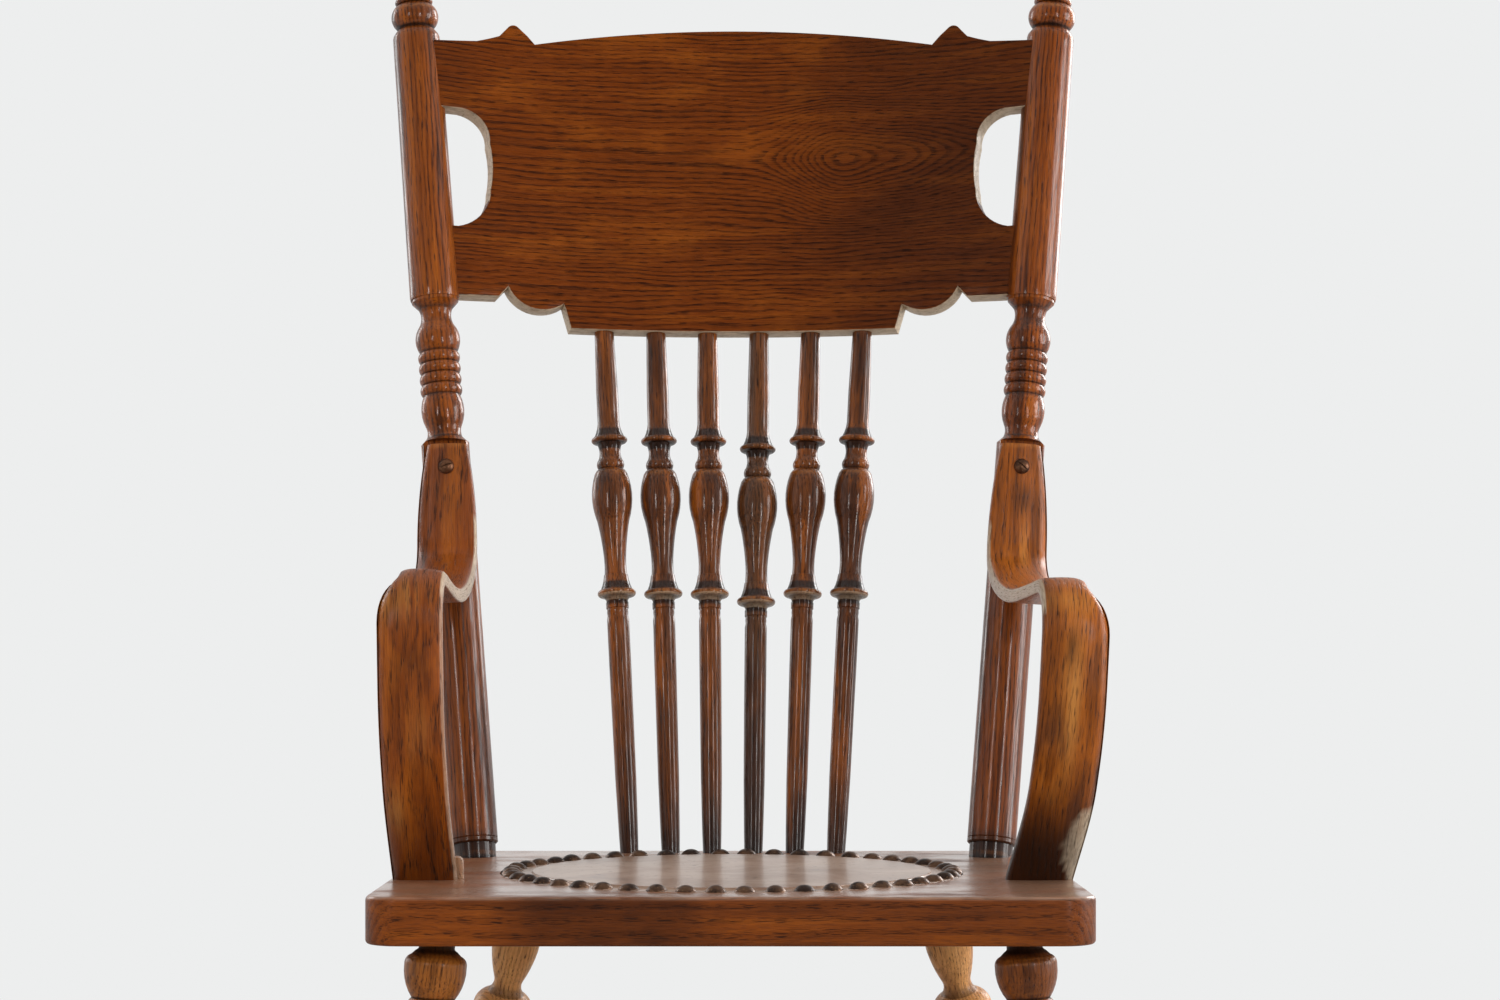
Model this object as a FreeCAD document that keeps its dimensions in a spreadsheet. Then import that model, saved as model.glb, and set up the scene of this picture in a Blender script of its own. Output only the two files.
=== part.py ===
import FreeCAD, Part
import math
import os
import Sketcher
from FreeCAD import Placement, Rotation, Vector

# Spindle-back armchair on rockers: plank seat with a nailed round panel,
# turned legs, posts and spindles, a bent headboard and bentwood arms.
# The chair faces -Y, left and right are those of the picture (-X and +X).
# The seat and all above it are laid out from the seat's top plane, which then
# leans back a little. The origin is on the floor, midway between the points
# where the two rockers touch it.

os.makedirs("parts", exist_ok=True)
document = FreeCAD.newDocument("rocking_chair")

# Driving sizes in millimetres
lengths = {
    # plank seat
    "seatFrontWidth": 520,
    "seatBackWidth": 490,
    "seatDepth": 416,
    "seatThickness": 35,
    "seatFrontCorner": 25,
    "seatBackCorner": 30,
    "seatTopArris": 4,
    "seatUnderArris": 3,
    "seatFrontHeight": 420,
    "seatFrontReach": 307,
    # round panel let into the seat, with its nails
    "panelShift": 2,
    "panelMargin": 34.5,
    "panelThickness": 3.5,
    "panelGap": 1.2,
    "panelBorder": 23.5,
    "panelFieldRise": 1.5,
    "openingLedge": 28.5,
    "nailInset": 7,
    "nailHead": 16,
    "nailRise": 5,
    "nailShank": 2.4,
    "nailLength": 16,
    # back posts
    "postHalfSpacing": 204,
    "postInset": 56,
    "postTenon": 24,
    "postTenonLength": 26,
    "postNeck": 34.5,
    "postNeckLength": 9,
    "postLower": 38.8,
    "postLowerLength": 327,
    "postVase": 36.4,
    "postVaseLength": 122,
    "postUpper": 40.5,
    "postUpperLength": 227,
    "postFinial": 38.7,
    "postFinialLength": 87,
    # bent headboard between the posts
    "headboardLow": 438,
    "headboardHeight": 260,
    "headboardThickness": 20,
    "headboardSagitta": 40,
    "headboardTenon": 11,
    "headboardTenonDepth": 3,
    "headboardTenonInset": 8,
    "headboardPin": 5,
    "headboardPinLength": 33,
    "headboardPinOffset": 6,
    # back spindles
    "spindleInset": 22,
    "spindleSeatPitch": 33,
    "spindleTopPitch": 42.4,
    "spindleFoot": 14.5,
    "spindleShaft": 17.5,
    "spindleVase": 32.6,
    "spindleLowerLength": 198.8,
    "spindleTurningLength": 159.2,
    "spindleTenon": 10.5,
    "spindleTenonLength": 16,
    "spindleSeatDepth": 20,
    "spindleDrop": 6.5,
    # bentwood arms
    "armWidth": 48,
    "armThickness": 13,
    "armTipWidth": 33,
    "armFootSpacing": 226,
    "armFootSetback": 138,
    "armKneeSetback": 80,
    "armKneeHeight": 114,
    "armCrestSetback": 76,
    "armKneeRadius": 150,
    "armCrestRadius": 40,
    "armBendRadius": 34,
    "armFlat": 8.7,
    "armMeetHeight": 300,
    "armTipHeight": 332,
    "armFlatMargin": 4.5,
    "armFlatRise": 5.5,
    "armDipInset": 24,
    "armOuterArris": 9,
    "armInnerArris": 3.5,
    "armBackArris": 2,
    "leftArmBow": 5,
    "leftArmCrest": 233.5,
    "leftArmDip": 213,
    "rightArmBow": 19,
    "rightArmCrest": 228,
    "rightArmDip": 206,
    # heel block behind each arm's foot
    "heelHeight": 16,
    "heelDepth": 13,
    "heelRound": 6,
    "heelInset": 4,
    "heelOverhang": 7,
    # screws that hold the arms
    "screwShank": 4.5,
    "postScrewHead": 12.6,
    "postScrewRise": 4.2,
    "postScrewLength": 34,
    "postScrewDrop": 19,
    "screwSlotWidth": 1.3,
    "screwSlotDepth": 1.6,
    "footScrewHead": 8.5,
    "footScrewRecess": 9.5,
    "footScrewHeadDepth": 3.5,
    "footScrewSink": 33.8,
    "footScrewReach": 22,
    "footScrewSpacing": 22,
    # legs, whose lengths and stretchers are shares of the distance from rocker to seat
    "frontLegHalfSpacing": 210.5,
    "frontLegSetback": 50,
    "frontFootSetback": 18,
    "frontLegBulb": 45,
    "rearLegHalfSpacing": 163,
    "rearLegInset": 96,
    "rearFootInset": 18,
    "rearLegBulb": 46,
    "legBoss": 37,
    "legNeck": 26,
    "legTenon": 22,
    "legTenonLength": 24,
    "footTenon": 15,
    "footTenonLength": 24,
    # rockers
    "rockerHalfSpacing": 232,
    "rockerRadius": 1050,
    "rockerDepth": 40,
    "rockerThickness": 30,
    "rockerArris": 2,
    "rockerPin": 5,
    "rockerPinDepth": 12,
    # stretchers
    "stretcherTenon": 14,
    "stretcherTenonLength": 17,
    "stretcherShoulder": 4,
    "frontStretcher": 27,
    "sideStretcher": 23,
    # fits
    "glueGap": 0.12,
    "copeGap": 0.25,
    "overrun": 12,
}
angles = {
    "seatTilt": 3,
    "backLean": 13,
    "postSplay": 4.87,
    "rockerSweep": 21.9,
}
counts = {
    "spindleCount": 6,
    "nailCount": 48,
    "lowSpindle": 4,
}

sheet = document.addObject("Spreadsheet::Sheet", "Sizes")
for row, (alias, number) in enumerate({**lengths, **angles, **counts}.items(), 1):
    sheet.set(f"A{row}", alias)
    sheet.set(f"B{row}", str(number))
    sheet.setAlias(f"B{row}", alias)
document.recompute()

xAxis = Vector(1, 0, 0)
yAxis = Vector(0, 1, 0)
zAxis = Vector(0, 0, 1)


class Size:
    """A number together with the sheet expression that gives it."""

    def __init__(self, value, text):
        self.value = value
        self.text = text

    def __add__(self, other):
        return Size(self.value + other.value, f"({self.text} + {other.text})")

    def __sub__(self, other):
        return Size(self.value - other.value, f"({self.text} - {other.text})")

    def __mul__(self, other):
        if isinstance(other, Size):
            return Size(self.value * other.value, f"{self.text} * {other.text}")
        return Size(self.value * other, f"{self.text} * ({other})")

    def __truediv__(self, number):
        return Size(self.value / number, f"{self.text} / {number}")

    def __neg__(self):
        return Size(-self.value, f"(0 - {self.text})")


nothing = Size(0.0, "0")


def size(alias):
    return Size(float(sheet.get(alias)), f"Sizes.{alias}")


def value(alias):
    return float(sheet.get(alias))


def worked(number):
    """A size that is worked out here from others."""
    return Size(float(number), repr(float(number)))


def fromBack(alias):
    """A place on the seat given by its distance from the back edge."""
    return size("seatDepth") - size(alias)


def turnedBy(axis, degrees):
    return Placement(Vector(), Rotation(axis, degrees))


def movedBy(x, y, z):
    return Placement(Vector(x, y, z), Rotation())


def frameAlong(start, end):
    """A frame at start whose z axis points at end."""
    return Placement(start, Rotation(zAxis, end - start))


# Sketches and solids

def addBody(label, frame):
    body = document.addObject("PartDesign::Body", label)
    body.Placement = frame
    return body


def addSketch(body, role):
    """A sketch on one of its body's origin planes."""
    sketch = body.newObject("Sketcher::SketchObject", body.Name + "_sketch")
    plane = [feature for feature in body.Origin.OriginFeatures if feature.Role == role][0]
    sketch.AttachmentSupport = (plane, [""])
    sketch.MapMode = "FlatFace"
    return sketch


def spot(places):
    return Vector(places[0].value, places[1].value, 0)


def arcThrough(start, middle, end):
    """The arc through three points, and whether it runs anticlockwise."""
    first = middle - start
    second = end - middle
    turn = first.x * second.y - first.y * second.x
    circle = Part.Circle(start, middle, end)
    centre = Vector(circle.Center.x, circle.Center.y, 0)
    ends = [math.atan2(point.y - centre.y, point.x - centre.x) for point in (start, end)]
    if turn < 0:
        ends.reverse()
    if ends[1] < ends[0]:
        ends[1] += 2 * math.pi
    return Part.ArcOfCircle(Part.Circle(centre, zAxis, circle.Radius), *ends), turn > 0


def drawOutline(sketch, start, rows):
    """Draws a closed outline. A row of two sizes ends a line, and a row of four
    gives the middle and the end of an arc."""
    edges = []
    middles = []
    held = []
    ends = []
    here = start
    for number, row in enumerate(rows):
        there = row[-2:]
        if len(row) == 2:
            edges.append(Part.LineSegment(spot(here), spot(there)))
            ends.append((1, 2))
        else:
            arc, anticlockwise = arcThrough(spot(here), spot(row[:2]), spot(there))
            edges.append(arc)
            ends.append((1, 2) if anticlockwise else (2, 1))
            middles.append((number, row[:2]))
        held.append((number, ends[-1][1], there))
        here = there
    sketch.addGeometry(edges, False)
    rules = []
    for number, (first, last) in enumerate(ends):
        following = (number + 1) % len(ends)
        rules.append(Sketcher.Constraint("Coincident", number, last, following, ends[following][0]))
    for number, pair in middles:
        point = sketch.addGeometry([Part.Point(spot(pair))], True)[0]
        rules.append(Sketcher.Constraint("PointOnObject", point, 1, number))
        held.append((point, 1, pair))
    texts = {}
    for number, end, pair in held:
        for place, kind, axis in ((pair[0], "DistanceX", -2), (pair[1], "DistanceY", -1)):
            if place.text == "0":
                rules.append(Sketcher.Constraint("PointOnObject", number, end, axis))
            else:
                texts[len(rules)] = place.text
                rules.append(Sketcher.Constraint(kind, -1, 1, number, end, place.value))
    sketch.addConstraint(rules)
    for index, text in texts.items():
        sketch.setExpression(f"Constraints[{index}]", text)


def padded(label, frame, role, start, rows, length, side="One side"):
    """A body with one outline, made solid along the normal of its plane."""
    body = addBody(label, frame)
    sketch = addSketch(body, role)
    drawOutline(sketch, start, rows)
    pad = body.newObject("PartDesign::Pad", body.Name + "_pad")
    pad.Profile = sketch
    pad.SideType = side
    pad.setExpression("Length", length.text)
    body.Tip = pad
    return body


def turned(label, frame, start, sections):
    """A body turned about its z axis, from a place on that axis upward. Each
    section is a length, a diameter and rows of shares of the two."""
    rows = []
    along = start
    for length, diameter, shares in sections:
        for row in shares:
            places = []
            for far, wide in zip(row[::2], row[1::2]):
                places.append(diameter * (wide / 2) if wide else nothing)
                places.append(along + length * far)
            rows.append(tuple(places))
        along = along + length
    if rows[-1][-2] is not nothing:
        rows.append((nothing, along))
    rows.append((nothing, start))
    body = addBody(label, frame)
    sketch = addSketch(body, "XZ_Plane")
    drawOutline(sketch, (nothing, start), rows)
    revolution = body.newObject("PartDesign::Revolution", body.Name + "_revolution")
    revolution.Profile = sketch
    revolution.ReferenceAxis = (sketch, ["V_Axis"])
    body.Tip = revolution
    return body


def cylinder(label, frame, diameter, start, end):
    """A cylinder about its frame's z axis between two places on it."""
    rod = document.addObject("Part::Cylinder", label)
    rod.setExpression("Radius", (diameter / 2).text)
    rod.setExpression("Height", (end - start).text)
    rod.Placement = frame * movedBy(0, 0, start.value)
    return rod


def block(label, frame, low, high):
    """A box between two corners given as sizes."""
    box = document.addObject("Part::Box", label)
    for name, first, last in zip(("Length", "Width", "Height"), low, high):
        box.setExpression(name, (last - first).text)
    box.Placement = frame * movedBy(*[first.value for first in low])
    return box


def joined(label, pieces):
    fusion = document.addObject("Part::MultiFuse", label)
    fusion.Shapes = pieces
    return fusion


def shared(label, pieces):
    common = document.addObject("Part::MultiCommon", label)
    common.Shapes = pieces
    return common


def carved(label, base, tools):
    cut = document.addObject("Part::Cut", label)
    cut.Base = base
    cut.Tool = tools[0] if len(tools) == 1 else joined(label + "_tools", tools)
    return cut


def gathered(label, pieces):
    compound = document.addObject("Part::Compound", label)
    compound.Links = pieces
    return compound


def roundedEdges(label, base, radii):
    """Rounds edges of a piece, given as pairs of a number and a radius."""
    fillet = document.addObject("Part::Fillet", label)
    fillet.Base = base
    fillet.Edges = [(number, radius, radius) for number, radius in radii]
    return fillet


def ringShares(first, last, count, valley, crest):
    """Rows of equal half-round rings between two shares of a length."""
    pitch = (last - first) / count
    starts = [first + pitch * ring for ring in range(count)]
    return [(start + pitch / 2, crest, start + pitch, valley) for start in starts]


subParts = {}


def keep(label, piece):
    """Names a finished sub-part."""
    piece.Label = label
    subParts[label] = piece
    return piece


# Frames of the chair
sides = {"left": -1, "right": 1}
overrun = size("overrun")
glueGap = size("glueGap")
seatBack = value("seatFrontReach")
seatFrame = movedBy(0, -seatBack, value("seatFrontHeight")) * turnedBy(xAxis, -value("seatTilt"))
postSetback = fromBack("postInset").value
backFrame = seatFrame * movedBy(0, postSetback, 0) * turnedBy(xAxis, -value("backLean"))


def postFrame(side):
    splay = turnedBy(yAxis, side * value("postSplay"))
    return backFrame * movedBy(side * value("postHalfSpacing"), 0, 0) * splay


def socket(label, frame, diameter, depth, out):
    """A hole for a tenon that enters its seat at the frame's origin."""
    return cylinder(label, frame, diameter + glueGap * 2, -(depth + glueGap), out)


# Rockers: long arcs with rounded noses, pinned to the feet of the legs
def rockerPoint(radius, degrees):
    """A point at a distance from the centre of the rockers' arcs."""
    angle = math.radians(degrees)
    height = value("rockerRadius") - radius * math.cos(angle)
    return worked(radius * math.sin(angle)), worked(height)


def rockerTop(y):
    """The height of a rocker's top above the floor."""
    radius = value("rockerRadius") - value("rockerDepth")
    return value("rockerRadius") - math.sqrt(radius ** 2 - y ** 2)


def rockerBand(label, side, thickness):
    """A rocker's outline made solid."""
    under = value("rockerRadius")
    top = under - value("rockerDepth")
    middle = (under + top) / 2
    half = (under - top) / 2
    rear = value("rockerSweep")
    front = -rear
    nose = math.degrees(math.atan2(half, middle))
    noseRadius = math.hypot(half, middle)
    rows = [
        rockerPoint(under, 0) + rockerPoint(under, rear),
        rockerPoint(noseRadius, rear + nose) + rockerPoint(top, rear),
        rockerPoint(top, 0) + rockerPoint(top, front),
        rockerPoint(noseRadius, front - nose) + rockerPoint(under, front),
    ]
    frame = movedBy(side * value("rockerHalfSpacing"), 0, 0)
    return padded(label, frame, "YZ_Plane", rockerPoint(under, front), rows, thickness,
                  "Symmetric")


def rockerBlank(label, side):
    body = rockerBand(label, side, size("rockerThickness"))
    document.recompute()
    pad = body.Tip
    half = value("rockerThickness") / 2
    names = []
    for number, edge in enumerate(pad.Shape.Edges, 1):
        box = edge.BoundBox
        if min(abs(box.XMin), abs(box.XMax)) > half / 2 and box.XLength < half:
            names.append(f"Edge{number}")
    fillet = body.newObject("PartDesign::Fillet", label + "_fillet")
    fillet.Base = (pad, names)
    fillet.setExpression("Radius", size("rockerArris").text)
    body.Tip = fillet
    return body


copeThickness = size("rockerThickness") + overrun * 2
rockerBlanks = {name: rockerBlank(f"rocker_blank_{name}", side) for name, side in sides.items()}
rockerCopes = {name: rockerBand(f"rocker_cope_{name}", side, copeThickness)
               for name, side in sides.items()}


# Seat plank: a little wider in front, with rounded corners and arrises
def seatBlank():
    front = size("seatFrontWidth") / 2
    back = size("seatBackWidth") / 2
    depth = size("seatDepth")
    near = size("seatFrontCorner")
    far = size("seatBackCorner")
    middleShare = 1 - math.sqrt(0.5)
    nearMiddle = near * middleShare
    farMiddle = far * middleShare
    rows = [
        (front - near, nothing),
        (front - nearMiddle, nearMiddle, front, near),
        (back, depth - far),
        (back - farMiddle, depth - farMiddle, back - far, depth),
        (far - back, depth),
        (farMiddle - back, depth - farMiddle, -back, depth - far),
        (-front, near),
        (nearMiddle - front, nearMiddle, near - front, nothing),
    ]
    thickness = size("seatThickness")
    frame = seatFrame * movedBy(0, 0, -thickness.value)
    body = padded("seat_blank", frame, "XY_Plane", (near - front, nothing), rows, thickness)
    document.recompute()
    base = body.Tip
    for name, height in (("seatUnderArris", 0), ("seatTopArris", thickness.value)):
        arris = value(name)
        names = [
            f"Edge{number}" for number, edge in enumerate(base.Shape.Edges, 1)
            if edge.BoundBox.ZLength < arris / 2 and abs(edge.BoundBox.ZMin - height) < arris / 2
        ]
        fillet = body.newObject("PartDesign::Fillet", name + "_fillet")
        fillet.Base = (base, names)
        fillet.setExpression("Radius", size(name).text)
        body.Tip = fillet
        document.recompute()
        base = fillet
    return body


seatPlank = seatBlank()
seatHoles = []


# Round panel: a disc let into the seat, with a raised field
panelDiameter = size("seatDepth") - size("panelMargin") * 2
plainShares = [(0, 1), (1, 1)]
domeShares = [(0, 1), (0.6, 0.705, 1, 0.08)]


def seatPanel():
    fieldShares = [(0, 1), (0.7, 1), (1, 0.99)]
    frame = seatFrame * movedBy(0, value("seatDepth") / 2 + value("panelShift"), 0)
    sections = [
        (size("panelThickness"), panelDiameter, plainShares),
        (size("panelFieldRise"), panelDiameter - size("panelBorder") * 2, fieldShares),
    ]
    disc = turned("panel_disc", frame, -size("panelThickness"), sections)
    rabbet = panelDiameter + size("panelGap") * 2
    seatHoles.append(cylinder("panel_rabbet", frame, rabbet, -size("panelThickness"), overrun))
    seatHoles.append(cylinder("seat_opening", frame, panelDiameter - size("openingLedge") * 2,
                              -(size("seatThickness") + overrun), nothing))
    return disc, frame


panelDisc, panelFrame = seatPanel()


# Domed nails round the panel's edge, each through the panel into the plank
def copiesAround(label, shape):
    """Copies of a shape about the middle of the panel."""
    radius = panelDiameter.value / 2 - value("nailInset")
    count = int(value("nailCount"))
    copies = []
    for number in range(count):
        angle = 360 * (number + 0.5) / count
        copy = shape.copy()
        copy.Placement = panelFrame * turnedBy(zAxis, angle) * movedBy(0, radius, 0)
        copies.append(copy)
    feature = document.addObject("Part::Feature", label)
    feature.Shape = Part.makeCompound(copies)
    return feature


def seatNails():
    sections = [
        (size("nailLength"), size("nailShank"), plainShares),
        (size("nailRise"), size("nailHead"), domeShares),
    ]
    nail = turned("nail", Placement(), -size("nailLength"), sections)
    document.recompute()
    depth = value("nailLength") + value("glueGap")
    bore = value("nailShank") / 2 + value("glueGap")
    hole = Part.makeCylinder(bore, depth + value("overrun"), Vector(0, 0, -depth))
    keep("seat_nails", copiesAround("seat_nails", nail.Shape))
    return copiesAround("nail_holes", hole)


nailHoles = seatNails()
seatHoles.append(nailHoles)
keep("seat_panel", carved("seat_panel", panelDisc, [nailHoles]))


# Headboard: a bent board between the posts, with two lugs at each end
splaySlope = math.tan(math.radians(value("postSplay")))
boardLow = size("headboardLow")
boardHeight = size("headboardHeight")
boardSagitta = value("headboardSagitta")
boardHalfChord = value("postHalfSpacing") + boardLow.value * splaySlope
boardRadius = (boardHalfChord ** 2 + boardSagitta ** 2) / (2 * boardSagitta)
boardCentre = boardSagitta - boardRadius
boardReach = boardHalfChord + boardHeight.value / 2 * splaySlope

boardStartShares = (0, 0)
boardOutlineShares = [
    (0.525, -0.002),
    (0.548, 0.077),
    (0.625, 0.054, 0.727, 0.1227),
    (0.756, 0.0892),
    (1, 0.08),
    (1, 0.309),
    (0.888, 0.309),
    (0.822, 0.346, 0.789, 0.435),
    (0.7835, 0.5135, 0.794, 0.588),
    (0.82, 0.663, 0.884, 0.696),
    (1, 0.697),
    (1, 0.913),
    (0.84, 0.926),
    (0.8, 0.938, 0.766, 0.95),
    (0.7365, 0.9835),
    (0.7213, 0.9895, 0.7066, 0.984),
    (0.6756, 0.9565),
    (0.6517, 0.9304),
]
boardCrownShares = (0, 1)
lugShares = {"lower": (0.08, 0.309), "upper": (0.697, 0.913)}


def boardSurface(across, offset):
    """How far back the bent board lies at a distance from its middle."""
    return boardCentre + math.sqrt((boardRadius + offset) ** 2 - across ** 2)


def bentPlan(label, thickness, low, height):
    """The board's bend, made solid upward from a height on the back plane."""
    across = boardReach + overrun.value
    half = thickness.value / 2
    corners = [(worked(side * across), worked(boardSurface(across, offset)))
               for side, offset in ((-1, -half), (1, -half), (1, half), (-1, half))]
    nearMiddle = (nothing, worked(boardSurface(0, -half)))
    farMiddle = (nothing, worked(boardSurface(0, half)))
    rows = [
        nearMiddle + corners[1],
        corners[2],
        farMiddle + corners[3],
        corners[0],
    ]
    frame = backFrame * movedBy(0, 0, low.value)
    return padded(label, frame, "XY_Plane", corners[0], rows, height)


def boardOutline():
    reach = worked(boardReach)

    def placed(shares, side):
        places = []
        for across, up in zip(shares[::2], shares[1::2]):
            places.append(reach * (across * side) if across else nothing)
            places.append(boardLow + boardHeight * up)
        return tuple(places)

    rows = [placed(row, 1) for row in boardOutlineShares]
    rows.append(placed(boardCrownShares + (-boardOutlineShares[-1][0], boardOutlineShares[-1][1]), 1))
    ends = [row[-2:] for row in boardOutlineShares]
    for number in range(len(ends) - 1, 0, -1):
        row = boardOutlineShares[number]
        rows.append(placed(row[:-2] + ends[number - 1], -1))
    start = placed(ends[0], -1)
    depth = (size("headboardSagitta") + size("headboardThickness") + overrun) * 2
    return padded("board_outline", backFrame, "XZ_Plane", start,
                  [placed(boardStartShares, 1)] + rows, depth, "Symmetric")


def postCone(label, side):
    """The upper part of a post with a little room round it."""
    start = size("postNeckLength") + size("postLowerLength") + size("postVaseLength")
    cone = document.addObject("Part::Cone", label)
    gap = size("copeGap")
    cone.setExpression("Radius1", (size("postUpper") * (postUpperShares[1][1] / 2) + gap).text)
    cone.setExpression("Radius2", (size("postUpper") * (postUpperShares[2][1] / 2) + gap).text)
    cone.setExpression("Height", size("postUpperLength").text)
    cone.Placement = postFrame(side) * movedBy(0, 0, start.value)
    return cone


def lugBox(label, side, lug, room):
    """A box along a post round one lug's tenon."""
    inner = size("postUpper") / 2 + overrun
    outer = size("headboardTenonDepth") + room
    half = size("postUpper") / 2
    inset = size("headboardTenonInset") - room
    bottom = boardLow + boardHeight * lugShares[lug][0] + inset
    top = boardLow + boardHeight * lugShares[lug][1] - inset
    low, high = (-inner, outer) if side > 0 else (-outer, inner)
    return block(label, postFrame(side), (low, -half, bottom), (high, half, top))


postUpperShares = [(0, 0.98), (0.01, 1), (0.99, 0.951), (1, 0.92)]
planLow = boardLow - overrun
planHeight = boardHeight + overrun * 2
boardPlan = bentPlan("board_plan", size("headboardThickness"), planLow, planHeight)
boardShape = boardOutline()
boardBlank = shared("headboard_blank", [boardPlan, boardShape])
tenonSlab = bentPlan("tenon_slab", size("headboardTenon"), planLow, planHeight)
mortiseSlab = bentPlan("mortise_slab", size("headboardTenon") + glueGap * 2, planLow, planHeight)
postCones = [postCone(f"post_cone_{name}", side) for name, side in sides.items()]
boardTenons = []
mortises = {name: [] for name in sides}
boardPins = []
pinHoles = {name: [] for name in sides}
for name, side in sides.items():
    for lug, shares in lugShares.items():
        tag = f"{name}_{lug}"
        tenonBox = lugBox(f"tenon_box_{tag}", side, lug, nothing)
        mortiseBox = lugBox(f"mortise_box_{tag}", side, lug, glueGap)
        boardTenons.append(shared(f"board_tenon_{tag}", [tenonSlab, tenonBox]))
        mortises[name].append(shared(f"mortise_{tag}", [mortiseSlab, mortiseBox]))
        middle = boardLow + boardHeight * (sum(shares) / 2)
        inward = -side * value("headboardPinOffset")
        start = size("headboardPinLength") / 2
        pinFrame = postFrame(side) * movedBy(inward, 0, middle.value) * turnedBy(xAxis, 90)
        boardPins.append(cylinder(f"board_pin_{tag}", pinFrame, size("headboardPin"), -start, start))
        bore = size("headboardPin") + glueGap * 2
        pinHoles[name].append(cylinder(f"pin_hole_{tag}", pinFrame, bore, -(start + overrun),
                                       start + glueGap))


# Back spindles: turned rods from the seat into the underside of the headboard
spindleLowerShares = [
    (0.075, 0.88), (0.3, 0.97), (0.77, 1.02), (0.955, 1.02), (0.972, 0.95), (0.985, 0.98),
    (1, 0.96),
]
spindleTurningShares = [
    (0.003, 0.558), (0.033, 0.558), (0.036, 0.528),
    (0.064, 0.675, 0.073, 0.926),
    (0.083, 0.933),
    (0.127, 0.69, 0.175, 0.598),
    (0.177, 0.561),
    (0.221, 0.54, 0.265, 0.549),
    (0.353, 0.632, 0.46, 0.804),
    (0.614, 1, 0.714, 0.798),
    (0.728, 0.613),
    (0.754, 0.687, 0.78, 0.598),
    (0.828, 0.528, 0.865, 0.629),
    (0.873, 0.871), (0.884, 0.883), (0.893, 0.859),
    (0.931, 0.629, 1, 0.546),
]
spindleUpperShares = [(0.32, 1.02), (1, 0.9)]


def spindleEnds(number):
    """The points where a spindle meets the seat and the headboard."""
    place = number - (value("spindleCount") - 1) / 2
    foot = Vector(place * value("spindleSeatPitch"), fromBack("spindleInset").value, 0)
    across = place * value("spindleTopPitch")
    head = Vector(across, boardSurface(across, 0), boardLow.value)
    return seatFrame.multVec(foot), backFrame.multVec(head)


boardHoles = []
for number in range(int(value("spindleCount"))):
    label = f"back_spindle_{number + 1}"
    foot, head = spindleEnds(number)
    footFrame = frameAlong(foot, head)
    length = worked((head - foot).Length)
    lower = size("spindleLowerLength")
    if number + 1 == int(value("lowSpindle")):
        lower = lower - size("spindleDrop")
    upper = length - lower - size("spindleTurningLength")
    cope = size("spindleTenonLength") / 4
    sections = [
        (size("spindleSeatDepth"), size("spindleFoot"), plainShares),
        (lower, size("spindleShaft"), spindleLowerShares),
        (size("spindleTurningLength"), size("spindleVase"), spindleTurningShares),
        (upper, size("spindleShaft"), spindleUpperShares),
        (cope, size("spindleShaft"), [(1, spindleUpperShares[-1][1])]),
    ]
    turning = turned(f"spindle_turning_{number + 1}", footFrame, -size("spindleSeatDepth"), sections)
    copedSpindle = carved(f"spindle_coped_{number + 1}", turning, [boardBlank])
    headFrame = footFrame * movedBy(0, 0, length.value) * turnedBy(xAxis, 180)
    tenon = cylinder(f"spindle_tenon_{number + 1}", headFrame, size("spindleTenon"),
                     -size("spindleTenonLength"), cope)
    keep(label, joined(label, [copedSpindle, tenon]))
    seatHoles.append(socket(f"spindle_socket_{number + 1}", footFrame, size("spindleFoot"),
                            size("spindleSeatDepth"), overrun))
    boardHoles.append(socket(f"spindle_hole_{number + 1}", headFrame, size("spindleTenon"),
                             size("spindleTenonLength"), overrun))

boardEnds = carved("headboard_ends", boardBlank, postCones)
boardWhole = joined("headboard_whole", [boardEnds] + boardTenons)
boardPinHoles = [hole for holes in pinHoles.values() for hole in holes]
keep("headboard", carved("headboard", boardWhole, boardHoles + boardPinHoles))
keep("headboard_pins", gathered("headboard_pins", boardPins))


# Arms: bent strips that rise from the seat, roll over and run back to the posts
def flat(vector):
    return Vector(0, vector.y, vector.z)


def rightOf(direction):
    """The unit vector to the right of a direction in the y z plane."""
    return Vector(0, direction.z, -direction.y).normalize()


def along(start, end):
    return (end - start).normalize()


def meeting(first, firstWay, second, secondWay):
    """Where two lines in the y z plane meet."""
    gap = second - first
    spread = firstWay.y * secondWay.z - firstWay.z * secondWay.y
    return first + firstWay * ((gap.y * secondWay.z - gap.z * secondWay.y) / spread)


def spots(point):
    return worked(point.y), worked(point.z)


def route(corners, radii):
    """Rows for straight runs joined by arcs, after the first point."""
    rows = []
    for before, corner, after, radius in zip(corners, corners[1:], corners[2:], radii):
        arriving = along(before, corner)
        leaving = along(corner, after)
        half = arriving.getAngle(leaving) / 2
        tangent = radius * math.tan(half)
        inward = (leaving - arriving).normalize()
        middle = corner + inward * (radius / math.cos(half) - radius)
        rows.append(spots(corner - arriving * tangent))
        rows.append(spots(middle) + spots(corner + leaving * tangent))
    rows.append(spots(corners[-1]))
    return rows


def offsetRoute(corners, radii, distance):
    """The same route a distance to its right."""
    ways = [along(first, last) for first, last in zip(corners, corners[1:])]
    moved = [corners[0] + rightOf(ways[0]) * distance]
    changed = []
    for corner, before, after, radius in zip(corners[1:], ways, ways[1:], radii):
        both = (rightOf(before) + rightOf(after)) / (1 + before.dot(after))
        moved.append(corner + both * distance)
        rightTurn = rightOf(before).dot(after) > 0
        changed.append(radius - distance if rightTurn else radius + distance)
    moved.append(corners[-1] + rightOf(ways[-1]) * distance)
    return moved, changed


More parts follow.
